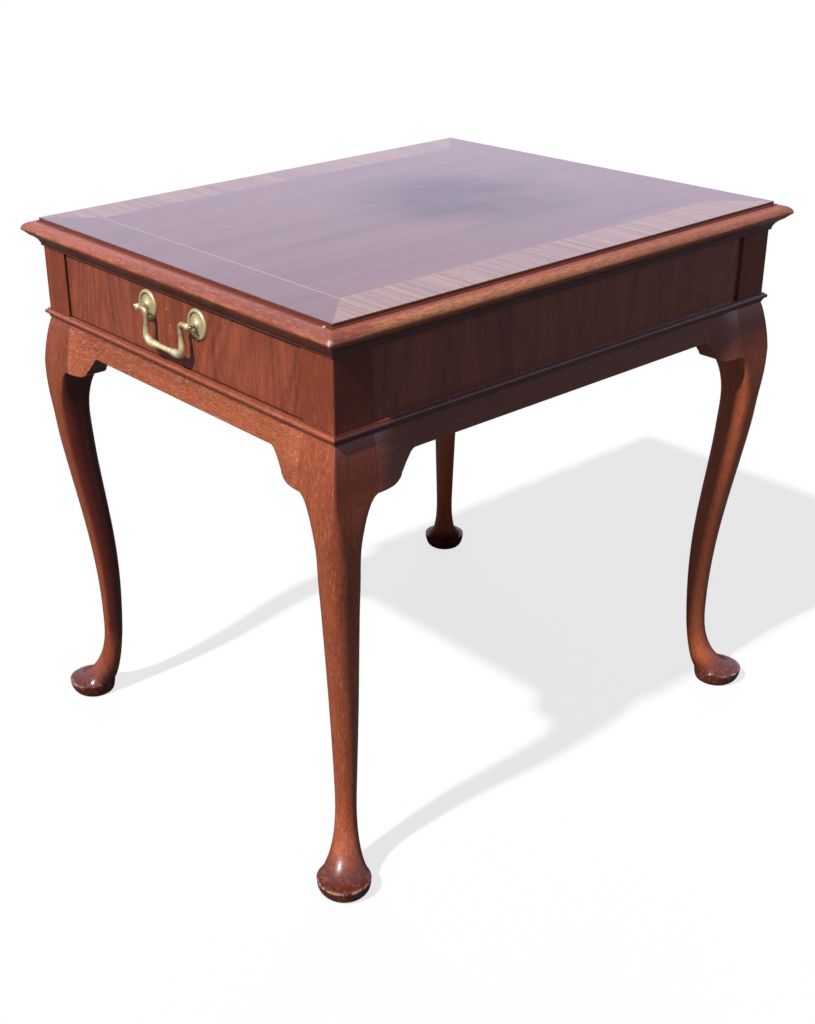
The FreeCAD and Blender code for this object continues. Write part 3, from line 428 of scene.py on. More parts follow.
def nose_wear(finish, base, up, axis, shift, nose, painted_sun):
    """Wear of the top's edge: rubbed on its nose, with a share of painted sunlight over worn finish
    along the nose, and dark on its step.
    """
    wood = settings().wood
    rubbed = finish.belt(up, nose - 0.0045, nose - 0.001, nose + 0.0005, nose + 0.004)
    specks = finish.patches(0.46, 0.62, 260, 45, axis, 3.0, 0.5, shift + 21)
    base = finish.blend(rubbed * specks * 0.65, base, wood.worn)
    run = finish.spread()[1]
    # Painted sunlight: a golden band on the nose from just behind the front corner, fading towards
    # the back, over worn finish
    lit = (finish.belt(up, nose - 0.003, nose, nose + 0.0066, nose + 0.0080)
           * finish.smooth(run, -0.290, -0.270)
           * (1.0 - finish.smooth(run, -0.15, 0.20) * 0.65))
    threads = finish.patches(0.42, 0.58, 620, 110, axis, 3.0, 0.5, shift + 25)
    base = finish.blend(lit * (threads * 0.8 + 0.2) * painted_sun, base, wood.sunlit_edge)
    step = finish.smooth(up, nose + 0.0082, nose + 0.0092)
    return finish.blend(step * 0.60, base, wood.foot)


def foot_wear(finish, base, up, axis, shift):
    """Dark foot with scuffs and a bare line round its toe. Returns the base and the foot's mask."""
    wood, rim = settings().wood, settings().gloss.foot_rim
    foot = 1.0 - finish.smooth(up, rim, rim + 0.028)
    base = finish.blend(foot * 0.92, base, wood.foot)
    scuffs = finish.patches(0.48, 0.68, 230, None, axis, 3.0, 0.4, shift + 27)
    low = 1.0 - finish.smooth(up, rim + 0.003, rim + 0.009)
    base = finish.blend(scuffs * low * 0.22, base, wood.worn)
    line = finish.belt(up, rim - 0.0014, rim - 0.0006, rim - 0.0001, rim + 0.0008)
    nicks = finish.patches(0.40, 0.60, 190, None, axis, 3.0, 0.0, shift + 17)
    across, run, _ = finish.spread()
    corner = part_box("leg_back_right")[1]
    outermost = corner.x + corner.y
    toe = finish.smooth(abs(across) + abs(run), outermost - 0.066, outermost - 0.040)
    return finish.blend(line * nicks * toe * 0.70, base, wood.bare), foot


def solid_mahogany(name, axis, shift=0.0, lift=0.0, soft=0.0011, coat=0.15, leg=False, nose=None,
                   chips=(), darkening=0.0, side_shade=0.58, side_shade_from=0.42, painted_sun=0.0, pale=0.0):
    """Solid mahogany with its grain along an axis, darkened by a share, with painted shade on the
    faces turned to the right.
    """
    wood, gloss = settings().wood, settings().gloss
    finish = Finish(name)
    tone, fibre, pores = grain(finish, axis, shift)
    tone = tone + lift
    up = finish.spread()[2]
    flecks = finish.patches(0.50, 0.72, 560, 130, axis, 2.0, 0.4, shift + 11)
    if leg:
        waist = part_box("waist_moulding_front")[0].z
        on_post = finish.smooth(up, waist, waist + 0.03)
        tone = tone - on_post * 0.60
        flecks = flecks * (1.0 - on_post * 0.75)
        darkening = (1.0 - on_post) * darkening
    normal, edge = finish.round_edge(soft)
    # Painted shade: darker in hollows and where the piece meets its neighbours
    grime_and_painted_shade = finish.hollow(0.009, False)
    patchy = finish.patches(0.40, 0.66, 70, 18, axis, 3.0, 0.3, shift + 13)
    rubbed = edge * (patchy * 0.75 + 0.25) * gloss.wear
    base = finish.blend(tone, wood.mahogany_dark, wood.mahogany)
    base = finish.blend(flecks * 0.50, base, wood.worn)
    if pale:
        spots = finish.patches(0.50, 0.68, 640, 210, axis, 2.0, 0.3, shift + 35)
        base = finish.blend(spots * pale, base, wood.fleck)
    # Painted shade: faces turned to the right, away from the key light, go towards the foot colour
    # above a height
    facing = finish.spread(finish.add("ShaderNodeNewGeometry", output="Normal"))[0]
    painted_side_shade = finish.smooth(facing, 0.25, 0.75) * finish.smooth(up, side_shade_from, side_shade_from + 0.04)
    base = finish.blend(painted_side_shade * side_shade + darkening, base, wood.foot)
    base = finish.blend(pores * 0.42, base, wood.pores)
    base = finish.blend(grime_and_painted_shade * 0.85, base, wood.pores)
    if nose:
        base = nose_wear(finish, base, up, axis, shift, nose, painted_sun)
    base = finish.blend(rubbed, base, wood.worn)
    rough = gloss.solid + (fibre - 0.5) * 0.14 + pores * 0.10 + rubbed * 0.12 + grime_and_painted_shade * 0.10
    if leg:
        base, foot = foot_wear(finish, base, up, axis, shift)
        rough = rough - foot * 0.14
        coat = (1.0 - foot) * coat
    for spot, reach in chips:
        ragged = finish.patches(0.24, 0.46, 420, None, axis, 2.0)
        base = finish.blend(finish.near(spot, reach) * ragged, base, wood.bare)
    height = fibre * 0.35 - pores * 0.8 + finish.noise(34, 6, axis, 1.0, 0.0, shift + 19) * 0.5
    return finish.close(base, rough, height, GRAIN_DEPTH, normal,
                        Coat_Weight=coat, Coat_Roughness=0.22)


def face_veneer(name, shift=0.0, chips=(), darkening=0.0):
    """Flame-figured veneer with upright grain on drawer face and friezes."""
    wood, gloss = settings().wood, settings().gloss
    finish = Finish(name)
    tone, fibre, pores = grain(finish, "z", shift, 0.85)
    streaks = finish.patches(0.44, 0.70, 210, 9, "z", 3.0, 1.4, shift + 23)
    cloud = finish.noise(13, 9, "z", 2.0, 0.5, shift + 29)
    flow = finish.noise(8, 2.6, "z", 1.0, 0.35, shift + 47)
    arches = finish.wave(flow * 105.0 + (fibre - 0.5) * 2.2)
    normal, edge = finish.round_edge(0.0006)
    # Painted shade: darker in hollows and where the veneer meets its neighbours
    grime_and_painted_shade = finish.hollow(0.008, False)
    tone = tone + 0.04 + (cloud - 0.5) * 0.6 + (arches - 0.5) * 0.36
    base = finish.blend(tone, wood.drawer_dark, wood.drawer)
    base = finish.blend(streaks * 0.18, base, wood.drawer_dark)
    # Darkening towards the foot colour, which on the friezes is painted shade, with random patches
    base = finish.blend(darkening + (cloud - 0.5) * 0.2, base, wood.foot)
    base = finish.blend(pores * 0.45, base, wood.pores)
    base = finish.blend(edge * (gloss.wear * 0.4), base, wood.worn)
    base = finish.blend(grime_and_painted_shade * 0.80, base, wood.pores)
    for spot, reach in chips:
        base = finish.blend(finish.near(spot, reach), base, wood.bare)
    rough = gloss.face + (fibre - 0.5) * 0.12 + pores * 0.08
    height = fibre * 0.3 - pores * 0.6 + cloud * 0.6
    return finish.close(base, rough, height, GRAIN_DEPTH, normal,
                        Coat_Weight=0.75, Coat_Roughness=0.18)


def top_veneer(name, axis, light, dark, shift=0.0, stripes=0.0, painted_reflection=None):
    """Filled and lacquered veneer of the top, with stripes for a crossband or a painted dark
    reflection on a duller patch of lacquer.
    """
    wood, gloss = settings().wood, settings().gloss
    finish = Finish(name)
    tone, fibre, pores = grain(finish, axis, shift, 0.9)
    streaks = finish.patches(0.44, 0.68, 85, 1.3, axis, 4.0, 0.6, shift + 33)
    tone = tone + 0.06 - streaks * 0.17
    if stripes:
        bars = finish.noise(190, 4.0, axis, 3.0, 0.20, shift + 31)
        run = finish.spread()[1]
        leaf = finish.add("ShaderNodeTexVoronoi", {"voronoi_dimensions": "1D"},
                          {"W": run * 24.0, "Scale": 1.0}, "Color")
        bars = (bars - 0.5) * 3.2 + (leaf - 0.5) * 0.45 + 0.5
        tone = tone * (1.0 - stripes) + bars * stripes
    base = finish.blend(tone, dark, light)
    base = finish.blend(pores * 0.35, base, wood.pores)
    rubbing = finish.noise(5, None, axis, 3.0, 0.6, shift + 37)
    coat = 1.0
    # Painted reflection: a dark bluish cloud on the top, where the lacquer is also duller
    if painted_reflection:
        spot, reach = painted_reflection
        cloud = finish.near(spot, reach) * finish.patches(
            -0.20, 0.95, 16, None, axis, 3.0, 0.0, shift + 43)
        base = finish.blend(cloud * 0.95, base, wood.painted_reflection)
        coat = 1.0 - cloud * 0.62
    hairlines = finish.patches(0.66, 0.78, 1500, 12, axis, 1.0, 0.0, shift + 41)
    rough = gloss.top + (rubbing - 0.5) * 0.10 + (fibre - 0.5) * 0.05 + hairlines * 0.10
    height = fibre * 0.25 + rubbing * 0.6 - hairlines * 0.2
    return finish.close(base, rough, height, LACQUER_DEPTH, None,
                        Coat_Weight=coat, Coat_Roughness=0.09, Coat_IOR=1.55)


def line_wood(name):
    """Pale wood of the thin lines, pale by the drawer and darker on the other sides."""
    wood, gloss = settings().wood, settings().gloss
    finish = Finish(name)
    fibre = finish.noise(900, None, "x", 2.0)
    run = finish.spread()[1]
    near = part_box("stringing_lines")[0].y
    dark = finish.smooth(run, near, near + 0.05) * 0.75 + (fibre - 0.5) * 0.5
    base = finish.blend(dark, wood.line, wood.band_dark)
    return finish.close(base, gloss.top + (fibre - 0.5) * 0.1, fibre, LINE_DEPTH, None,
                        Coat_Weight=1.0, Coat_Roughness=0.09)


def plain_wood(name, axis, light, dark, rough, shift=0.0):
    """Pale wood inside the table, planed and left plain."""
    finish = Finish(name)
    figure = finish.noise(40, 2.4, axis, 3.0, 1.2, shift)
    fibre = finish.noise(640, 18, axis, 2.0, 0.0, shift + 3)
    pores = finish.patches(0.60, 0.74, 820, 70, axis, 1.0, 0.0, shift + 5)
    normal, edge = finish.round_edge(0.0008)
    # Painted shade: darker in the piece's own hollows
    grime_and_painted_shade = finish.hollow(0.008)
    base = finish.blend(0.5 + (figure - 0.5) * 2.2 + (fibre - 0.5) * 0.8, dark, light)
    base = finish.blend(pores * 0.35, base, dark)
    base = finish.blend(grime_and_painted_shade * 0.5, base, settings().wood.mahogany_dark)
    base = finish.blend(edge * 0.25, base, light)
    height = fibre * 0.5 - pores * 0.5
    return finish.close(base, rough + (fibre - 0.5) * 0.15, height, RAW_DEPTH, normal)


def worn_metal(name, bright, dull, rough, patch, metallic, rings=None, tarnish_and_reflection=None):
    """Rubbed metal, dull in its hollows, that throws little light on its neighbours.

    Turned rings have their middle across and up at rings. The brown colour is tarnish with painted
    reflection of the drawer's wood, given with the heights at which it sets in and is full.
    """
    finish = Finish(name)
    cloud = finish.patches(0.42, 0.70, patch, None, "z", 3.0, 0.4)
    fine = finish.noise(900, None, "z", 2.0)
    normal, edge = finish.round_edge(0.0004)
    grime_and_painted_shade = finish.hollow(0.0035)
    tarnish = (cloud * 0.30 + grime_and_painted_shade * 0.70) * (1.0 - edge * 0.7)
    base = finish.blend(tarnish, bright, dull)
    relief = fine * 0.4 + cloud
    across, _, up = finish.spread()
    if rings:
        middle_x, middle_z = rings
        off, rise = abs(across) - middle_x, up - middle_z
        gap = (off * off + rise * rise) ** 0.5
        turned = (finish.wave(gap * (math.tau / RING_WIDTH))
                  * finish.smooth(gap, RING_START, RING_FULL))
        base = finish.blend(turned * 0.55, base, dull)
        relief = relief + turned * 4.0
    # Tarnish with painted reflection of the drawer's wood, growing up the bail's arms
    if tarnish_and_reflection:
        tint, sets_in, full = tarnish_and_reflection
        arms = finish.smooth(up, sets_in, full)
        base = finish.blend(arms * (cloud * 0.4 + 0.4), base, tint)
    mirrored = finish.ray("Is Diffuse Ray") + finish.ray("Is Glossy Ray")
    base = finish.blend(mirrored * 0.8, base, METAL_IN_OTHERS)
    rough = rough + tarnish * 0.18 + (fine - 0.5) * 0.10
    return finish.close(base, rough, relief, METAL_DEPTH, normal, Metallic=metallic)


def new_shape(name, kinds):
    """Geometry tree with a geometry and named inputs. Returns its web and input values."""
    tree = bpy.data.node_groups.new(name, "GeometryNodeTree")
    tree.interface.new_socket("Geometry", in_out="INPUT", socket_type="NodeSocketGeometry")
    for label, kind in kinds.items():
        tree.interface.new_socket(label, in_out="INPUT", socket_type=kind)
    tree.interface.new_socket("Geometry", in_out="OUTPUT", socket_type="NodeSocketGeometry")
    web = Web(tree)
    start = tree.nodes.new("NodeGroupInput")
    return web, {out.name: Num(web, out) for out in start.outputs if out.name}


def shape_mesh(obj, web, values):
    """Runs a geometry tree on an object, with its inputs set by identifier, and keeps the mesh."""
    modifier = obj.modifiers.new("shape", "NODES")
    modifier.node_group = web.tree
    for item in web.tree.interface.items_tree:
        if item.in_out == "INPUT" and item.name in values:
            modifier[item.identifier] = values[item.name]
    return keep_shape(obj)


def keep_shape(obj):
    """Keeps the mesh that an object's modifiers give, without the modifiers."""
    seen = obj.evaluated_get(bpy.context.evaluated_depsgraph_get())
    mesh = bpy.data.meshes.new_from_object(seen)
    obj.modifiers.clear()
    obj.data = mesh
    return obj


def new_object(name, data):
    """Object of a mesh, a light or a lens, in the scene."""
    obj = bpy.data.objects.new(name, data)
    bpy.context.scene.collection.objects.link(obj)
    return obj


def mesh_object(name, shape):
    """Object of an edited mesh, which it frees."""
    mesh = bpy.data.meshes.new(name)
    shape.to_mesh(mesh)
    shape.free()
    return new_object(name, mesh)


def bail_shape():
    """Tree that fillets a bent line and sweeps it with the bail's changing thickness."""
    sizes = ("Pin", "Button", "Shoulder", "Arm", "Swell", "Waist", "Collar", "Half waist",
             "Collar width", "Bar half", "Arm start", "Arm end", "Pin start", "Button start", "End")
    kinds = dict.fromkeys(sizes, "NodeSocketFloat")
    web, value = new_shape("bent bail", {**kinds, "Finish": "NodeSocketMaterial"})
    (pin, button, shoulder, arm, swell, waist, collar, waist_half, collar_width, bar_half,
     arm_start, arm_end, pin_start, button_start, end) = (value[name] for name in sizes)
    line = web.add("GeometryNodeMeshToCurve", None, {"Mesh": value["Geometry"]})
    bend = web.add("GeometryNodeInputNamedAttribute", {"data_type": "FLOAT"}, {"Name": "bend"})
    line = web.add("GeometryNodeFilletCurve", {"mode": "POLY"},
                   {"Curve": line, "Radius": bend, "Count": BEND_STEPS})
    line = web.add("GeometryNodeResampleCurve", {"mode": "LENGTH"},
                   {"Curve": line, "Length": BAIL_STEP})
    walked = web.add("GeometryNodeSplineParameter", output="Length")
    whole = web.add("GeometryNodeSplineLength", output="Length")
    out = abs(walked - whole * 0.5)

    def rise(low, high, first, last):
        """Change of thickness over a stretch of the bail."""
        return web.smooth(out, low, high) * (last - first)

    collar_end = waist_half + collar_width
    size = (waist + rise(collar_end, bar_half, waist, swell) + rise(arm_start, arm_end, swell, arm)
            + rise(arm_end, pin_start - 0.001, arm, shoulder))
    on_collar = (out > waist_half) * (out < collar_end)
    size = size + on_collar * (collar - waist)
    size = size + (out > pin_start) * (pin - size)
    along_button = (out - button_start) / (end - button_start)
    domed = button * (1.0 - 0.55 * along_button * along_button * along_button)
    size = size + (out > button_start) * (domed - size)
    ring = web.add("GeometryNodeCurvePrimitiveCircle", None,
                   {"Resolution": BAIL_SIDES, "Radius": 0.5})
    tube = web.add("GeometryNodeCurveToMesh", None, {
        "Curve": line, "Profile Curve": ring, "Scale": size, "Fill Caps": True})
    finish_shape(web, tube, value["Finish"])
    return web


def screw_shape():
    """Tree that puts one screw at each point, turned to the point's aim."""
    web, value = new_shape("wood screws", {"Screw": "NodeSocketObject",
                                           "Finish": "NodeSocketMaterial"})
    source = web.add("GeometryNodeObjectInfo", None, {"Object": value["Screw"]}, "Geometry")
    aim = web.add("GeometryNodeInputNamedAttribute", {"data_type": "FLOAT_VECTOR"}, {"Name": "aim"})
    reach = web.add("GeometryNodeInputNamedAttribute", {"data_type": "FLOAT_VECTOR"},
                    {"Name": "stretch"})
    turn = web.add("FunctionNodeAlignRotationToVector", {"axis": "Z"}, {"Vector": aim})
    index = web.add("GeometryNodeInputIndex")
    spun = web.add("FunctionNodeAxisAngleToRotation", None,
                   {"Axis": (0.0, 0.0, 1.0), "Angle": index * SLOT_TURN})
    turn = web.add("FunctionNodeRotateRotation", {"rotation_space": "LOCAL"},
                   {"Rotation": turn, "Rotate By": spun})
    copies = web.add("GeometryNodeInstanceOnPoints", None, {
        "Points": value["Geometry"], "Instance": source, "Rotation": turn, "Scale": reach})
    finish_shape(web, copies, value["Finish"])
    return web


def finish_shape(web, shape, material):
    """Last nodes of a tree: smooth faces, real copies and the finish."""
    shape = web.add("GeometryNodeRealizeInstances", None, {"Geometry": shape})
    shape = web.add("GeometryNodeSetShadeSmooth", None, {"Geometry": shape})
    shape = web.add("GeometryNodeSetMaterial", None, {"Geometry": shape, "Material": material})
    web.add("NodeGroupOutput", None, {"Geometry": shape})


def screw_body(size, reach):
    """Mesh of one screw along +Z, its head's flat at 0 and its tip at its reach."""
    bm = bmesh.new()
    turns = [math.tau * k / size.sides for k in range(size.sides)]
    stations = [(0.0, size.head / 2), (size.head_height, size.core / 2)]
    z = size.head_height + size.pitch
    while z < reach - size.point:
        stations += [(z, size.core / 2), (z + size.pitch * 0.25, size.shank / 2),
                     (z + size.pitch * 0.5, size.core / 2)]
        z += size.pitch
    stations += [(reach - size.point, size.core / 2), (reach, size.core / 10)]
    rings = [[bm.verts.new((r * math.cos(a), r * math.sin(a), h)) for a in turns]
             for h, r in stations]
    for low, high in zip(rings, rings[1:]):
        for k in range(size.sides):
            j = (k + 1) % size.sides
            bm.faces.new((low[k], low[j], high[j], high[k]))
    bm.faces.new(reversed(rings[0]))
    bm.faces.new(rings[-1])
    body = mesh_object("screw_body", bm)
    cutter = bmesh.new()
    bmesh.ops.create_cube(cutter, size=1.0, matrix=Matrix.Diagonal(
        (2 * size.head, size.slot, 2 * size.slot_depth, 1.0)))
    slot = mesh_object("screw_slot", cutter)
    cut = body.modifiers.new("slot", "BOOLEAN")
    cut.operation = "DIFFERENCE"
    cut.solver = "EXACT"
    cut.object = slot
    keep_shape(body)
    bpy.data.objects.remove(slot)
    return body


class SIDETABLE_OT_top(bpy.types.Operator):
    """Finishes the field, crossbands and lines of the top"""

    bl_idname = "sidetable.top"
    bl_label = "Veneered Top"

    def execute(self, context):
        wood = settings().wood
        reflection_spot, reflection_reach = (0.003, 0.080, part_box("top_field_veneer")[1].z), 0.165
        coat_nodes(["top_field_veneer"], top_veneer(
            "field_veneer", "y", wood.field, wood.field_dark, painted_reflection=(reflection_spot, reflection_reach)))
        coat_nodes(["crossband_front", "crossband_back"],
                   top_veneer("end_crossband", "y", wood.field, wood.field_dark, 50, 0.45))
        coat_nodes(["crossband_right", "crossband_left"],
                   top_veneer("side_crossband", "x", wood.band, wood.band_dark, 60, 0.75))
        coat_nodes(["stringing_lines"], line_wood("stringing"))
        coat_nodes(["top_core"], plain_wood("core_board", "y", wood.inner, wood.inner_dark,
                                            settings().gloss.raw))
        return {"FINISHED"}


class SIDETABLE_OT_mouldings(bpy.types.Operator):
    """Finishes the top's edge, the cove and the waist moulding"""

    bl_idname = "sidetable.mouldings"
    bl_label = "Mouldings"

    def execute(self, context):
        low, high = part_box("top_edge_front")
        nose = high.z - NOSE_BELOW_TOP
        chips = [((high.x - 0.0005, low.y + 0.0005, nose + 0.0018), 0.0055),
                 ((high.x - 0.0237, low.y + 0.0127, high.z - 0.0032), 0.0028)]
        for side, axis, shift in (("front", "x", 80), ("right", "y", 90), ("back", "x", 100),
                                  ("left", "y", 110)):
            long_side = side in ("right", "left")
            # The long sides' noses take painted sunlight over their worn finish
            edge = solid_mahogany("edge_mahogany_" + side, axis, shift, -0.24, 0.0006,
                                  0.12 if long_side else 0.45, nose=nose, side_shade=0.0,
                                  chips=chips if side in ("front", "right") else (),
                                  painted_sun=0.80 if long_side else 0.0)
            # The right side's mouldings are darkened strongly: painted shade of that shaded side
            small = solid_mahogany("moulding_mahogany_" + side, axis, shift + 5, -0.20, 0.0005, 0.3,
                                   darkening=0.70 if side == "right" else 0.0)
            coat_nodes(["top_edge_" + side], edge)
            coat_nodes(["cove_moulding_" + side, "waist_moulding_" + side], small)
        return {"FINISHED"}


class SIDETABLE_OT_legs(bpy.types.Operator):
    """Finishes the four legs, with scuffed rims on their feet"""

    bl_idname = "sidetable.legs"
    bl_label = "Cabriole Legs"

    def execute(self, context):
        # The back legs are lightened as painted light in the table's shade; the front left leg is
        # darkened and has painted shade on its right-facing side from near the floor up
        for corner, look in {
                "front_right": {"shift": 0},
                "back_left": {"shift": 6, "lift": 0.70},
                "back_right": {"shift": 9, "lift": 0.45},
                "front_left": {"shift": 3, "darkening": 0.32, "side_shade": 0.60, "side_shade_from": 0.06},
        }.items():
            coat_nodes(["leg_" + corner],
                       solid_mahogany("leg_mahogany_" + corner, "z", leg=True, **look))
        return {"FINISHED"}


class SIDETABLE_OT_aprons(bpy.types.Operator):
    """Finishes the aprons and the knee blocks below them"""

    bl_idname = "sidetable.aprons"
    bl_label = "Aprons and Knee Blocks"

    def execute(self, context):
        # The apron ends and knee blocks take strong painted shade on their faces turned to the
        # right
        ends = solid_mahogany("apron_mahogany_end", "x", 20, 0.10, side_shade=0.92,
                              side_shade_from=0.33, pale=0.34)
        runs = solid_mahogany("apron_mahogany_side", "y", 30, 0.05, coat=0.90, pale=0.18)
        for name in NODES:
            if name.startswith(("apron_", "knee_block_")):
                across = name.startswith(("apron_front", "apron_back", "knee_block_front",
                                          "knee_block_back"))
                coat_nodes([name], ends if across else runs)
        return {"FINISHED"}


class SIDETABLE_OT_friezes(bpy.types.Operator):
    """Finishes the recessed panels of the frieze"""

    bl_idname = "sidetable.friezes"
    bl_label = "Frieze Panels"

    def execute(self, context):
        # The friezes take the drawer's veneer darkened: painted shade of the shaded sides
        coat_nodes(["frieze_panel_" + side for side in ("right", "back", "left")],
                   face_veneer("frieze_veneer", 40, darkening=0.24))
        return {"FINISHED"}


class SIDETABLE_OT_framing(bpy.types.Operator):
    """Finishes the runners, rails, blocks and stops inside the table"""

    bl_idname = "sidetable.framing"
    bl_label = "Inner Framing"

    def execute(self, context):
        wood = settings().wood
        inner = wood.inner, wood.inner_dark, settings().gloss.raw
        along = plain_wood("inner_wood_along", "y", *inner, 5)
        across = plain_wood("inner_wood_across", "x", *inner, 9)
        coat_nodes(["drawer_runner_left", "drawer_runner_right", "drawer_kicker_left",
                    "drawer_kicker_right"], along)
        coat_nodes(["drawer_top_rail", "drawer_bearer", "drawer_stops", "corner_blocks"], across)
        return {"FINISHED"}


class SIDETABLE_OT_drawer(bpy.types.Operator):
    """Finishes the drawer's face and its lining"""

    bl_idname = "sidetable.drawer"
    bl_label = "Drawer"

    def execute(self, context):
        wood, raw = settings().wood, settings().gloss.raw
        low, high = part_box("drawer_front_veneer")
        chips = [((-0.0111, low.y, high.z - 0.0168), 0.0016),
                 ((-0.0059, low.y, high.z - 0.0332), 0.0012)]
        coat_nodes(["drawer_front_veneer"], face_veneer("drawer_face_veneer", 0, chips))
        coat_nodes(["drawer_front"], plain_wood("drawer_front_wood", "x", wood.inner,
                                                wood.inner_dark, raw * 0.8, 15))
        lining = wood.lining, wood.lining_dark, raw * 0.85
        along = plain_wood("lining_along", "y", *lining, 21)
        across = plain_wood("lining_across", "x", *lining, 25)
        coat_nodes(["drawer_side_left", "drawer_side_right"], along)
        coat_nodes(["drawer_back", "drawer_bottom"], across)
        return {"FINISHED"}


class SIDETABLE_OT_pull(bpy.types.Operator):
    """Finishes the pull's plates, studs and nuts and bends its bail"""

    bl_idname = "sidetable.pull"
    bl_label = "Brass Pull"

    def execute(self, context):
        metal, size = settings().metal, settings().bail
        polish = (metal.brass, metal.brass_dull, 0.34, 160, 0.50)
        low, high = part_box("pull_rosettes")
        radius = (high.z - low.z) / 2
        coat_nodes(["pull_rosettes"], worn_metal("plate_brass", *polish,
                                                 rings=(high.x - radius, low.z + radius)))
        coat_nodes(["pull_posts", "pull_nuts"], worn_metal("pull_brass", *polish))
        brass = worn_metal("bail_brass", *polish, tarnish_and_reflection=(
            metal.brass_tarnish_and_reflection, HINGE.z - size.drop * TARNISH_AND_REFLECTION_START,
            HINGE.z - size.drop * TARNISH_AND_REFLECTION_FULL))
        half = [(size.reach, 0.0, 0.0), (size.top_x, 0.0, size.bend),
                (size.bottom_x, -size.drop, size.corner)]
        points = half + [(-x, z, bend) for x, z, bend in reversed(half)]
        mesh = bpy.data.meshes.new("bail_line")
        mesh.from_pydata([HINGE + Vector((x, 0.0, z)) for x, z, _ in points],
                         [(k, k + 1) for k in range(len(points) - 1)], [])
        bends = mesh.attributes.new("bend", "FLOAT", "POINT")
        for k, point in enumerate(points):
            bends.data[k].value = point[2]
        bar_half = size.bottom_x - size.corner
        corner_arc, bend_arc = size.corner * math.pi / 2, size.bend * math.pi / 2
        straight = size.drop - size.corner - size.bend
        arm_start = bar_half + corner_arc / 2
        arm_end = bar_half + corner_arc + straight * ARM_EVEN
        pin_start = (bar_half + corner_arc + straight + bend_arc
                     + size.shoulder_x - size.top_x - size.bend)
        end = pin_start + size.reach - size.shoulder_x
        bail = shape_mesh(new_object("bail_bar", mesh), bail_shape(), {
            "Pin": size.pin, "Button": size.button, "Shoulder": size.shoulder, "Arm": size.arm,
            "Swell": size.swell, "Waist": size.waist, "Collar": size.collar,
            "Half waist": size.waist_half, "Collar width": size.collar_width,
            "Bar half": bar_half * BAR_EVEN, "Arm start": arm_start, "Arm end": arm_end,
            "Pin start": pin_start, "Button start": end - (size.reach - size.pin_end),
            "End": end, "Finish": brass})
        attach(bail, "bail")
        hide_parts("pull_bail")
        return {"FINISHED"}


class SIDETABLE_OT_screws(bpy.types.Operator):
    """Sets the slotted screws of the corner blocks, runners and top"""

    bl_idname = "sidetable.screws"
    bl_label = "Wood Screws"

    def execute(self, context):
        metal, size = settings().metal, settings().screws
        steel = worn_metal("screw_steel", metal.steel, metal.steel_dull, 0.32, 300, 0.95)
        low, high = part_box("top_screws")
        kicker_x = middle("drawer_kicker_right").x
        rail_low, rail_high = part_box("drawer_top_rail")
        rail_x = rail_high.x - RAIL_TENON - RAIL_SCREW_IN
        runner_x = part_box("drawer_runner_right")[0].x
        runner_z, runner_tip = middle("runner_screws").z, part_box("runner_screws")[1].x
        block_z = middle("corner_blocks").z
        slant = math.sqrt(0.5)
        places = []
        for sign in (-1, 1):
            for part in (-2.0 / 3.0, 0.0, 2.0 / 3.0):
                y = part * SCREW_ROW
                places.append(((sign * kicker_x, y, low.z), (0, 0, 1), high.z - low.z))
                places.append(((sign * runner_x, y, runner_z), (sign, 0, 0),
                               runner_tip - runner_x))
            places.append(((sign * rail_x, -SCREW_ROW, rail_low.z), (0, 0, 1),
                           high.z - rail_low.z))
        for sx in (-1, 1):
            for sy in (-1, 1):
                spot = (sx * (POST_X - BLOCK_FACE_IN), sy * (POST_Y - BLOCK_FACE_IN), block_z)
                places.append((spot, (sx * slant, sy * slant, 0), BLOCK_SCREW))
        source = screw_body(size, BLOCK_SCREW)
        mesh = bpy.data.meshes.new("screw_places")
        mesh.from_pydata([spot for spot, _, _ in places], [], [])
        aims = mesh.attributes.new("aim", "FLOAT_VECTOR", "POINT")
        stretch = mesh.attributes.new("stretch", "FLOAT_VECTOR", "POINT")
        for k, (_, aim, reach) in enumerate(places):
            aims.data[k].vector = aim
            stretch.data[k].vector = (1.0, 1.0, reach / BLOCK_SCREW)
        screws = shape_mesh(new_object("wood_screws", mesh), screw_shape(),
                            {"Screw": source, "Finish": steel})
        bpy.data.objects.remove(source)
        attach(screws, "table")
        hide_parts("corner_screws", "runner_screws", "top_screws")
        return {"FINISHED"}


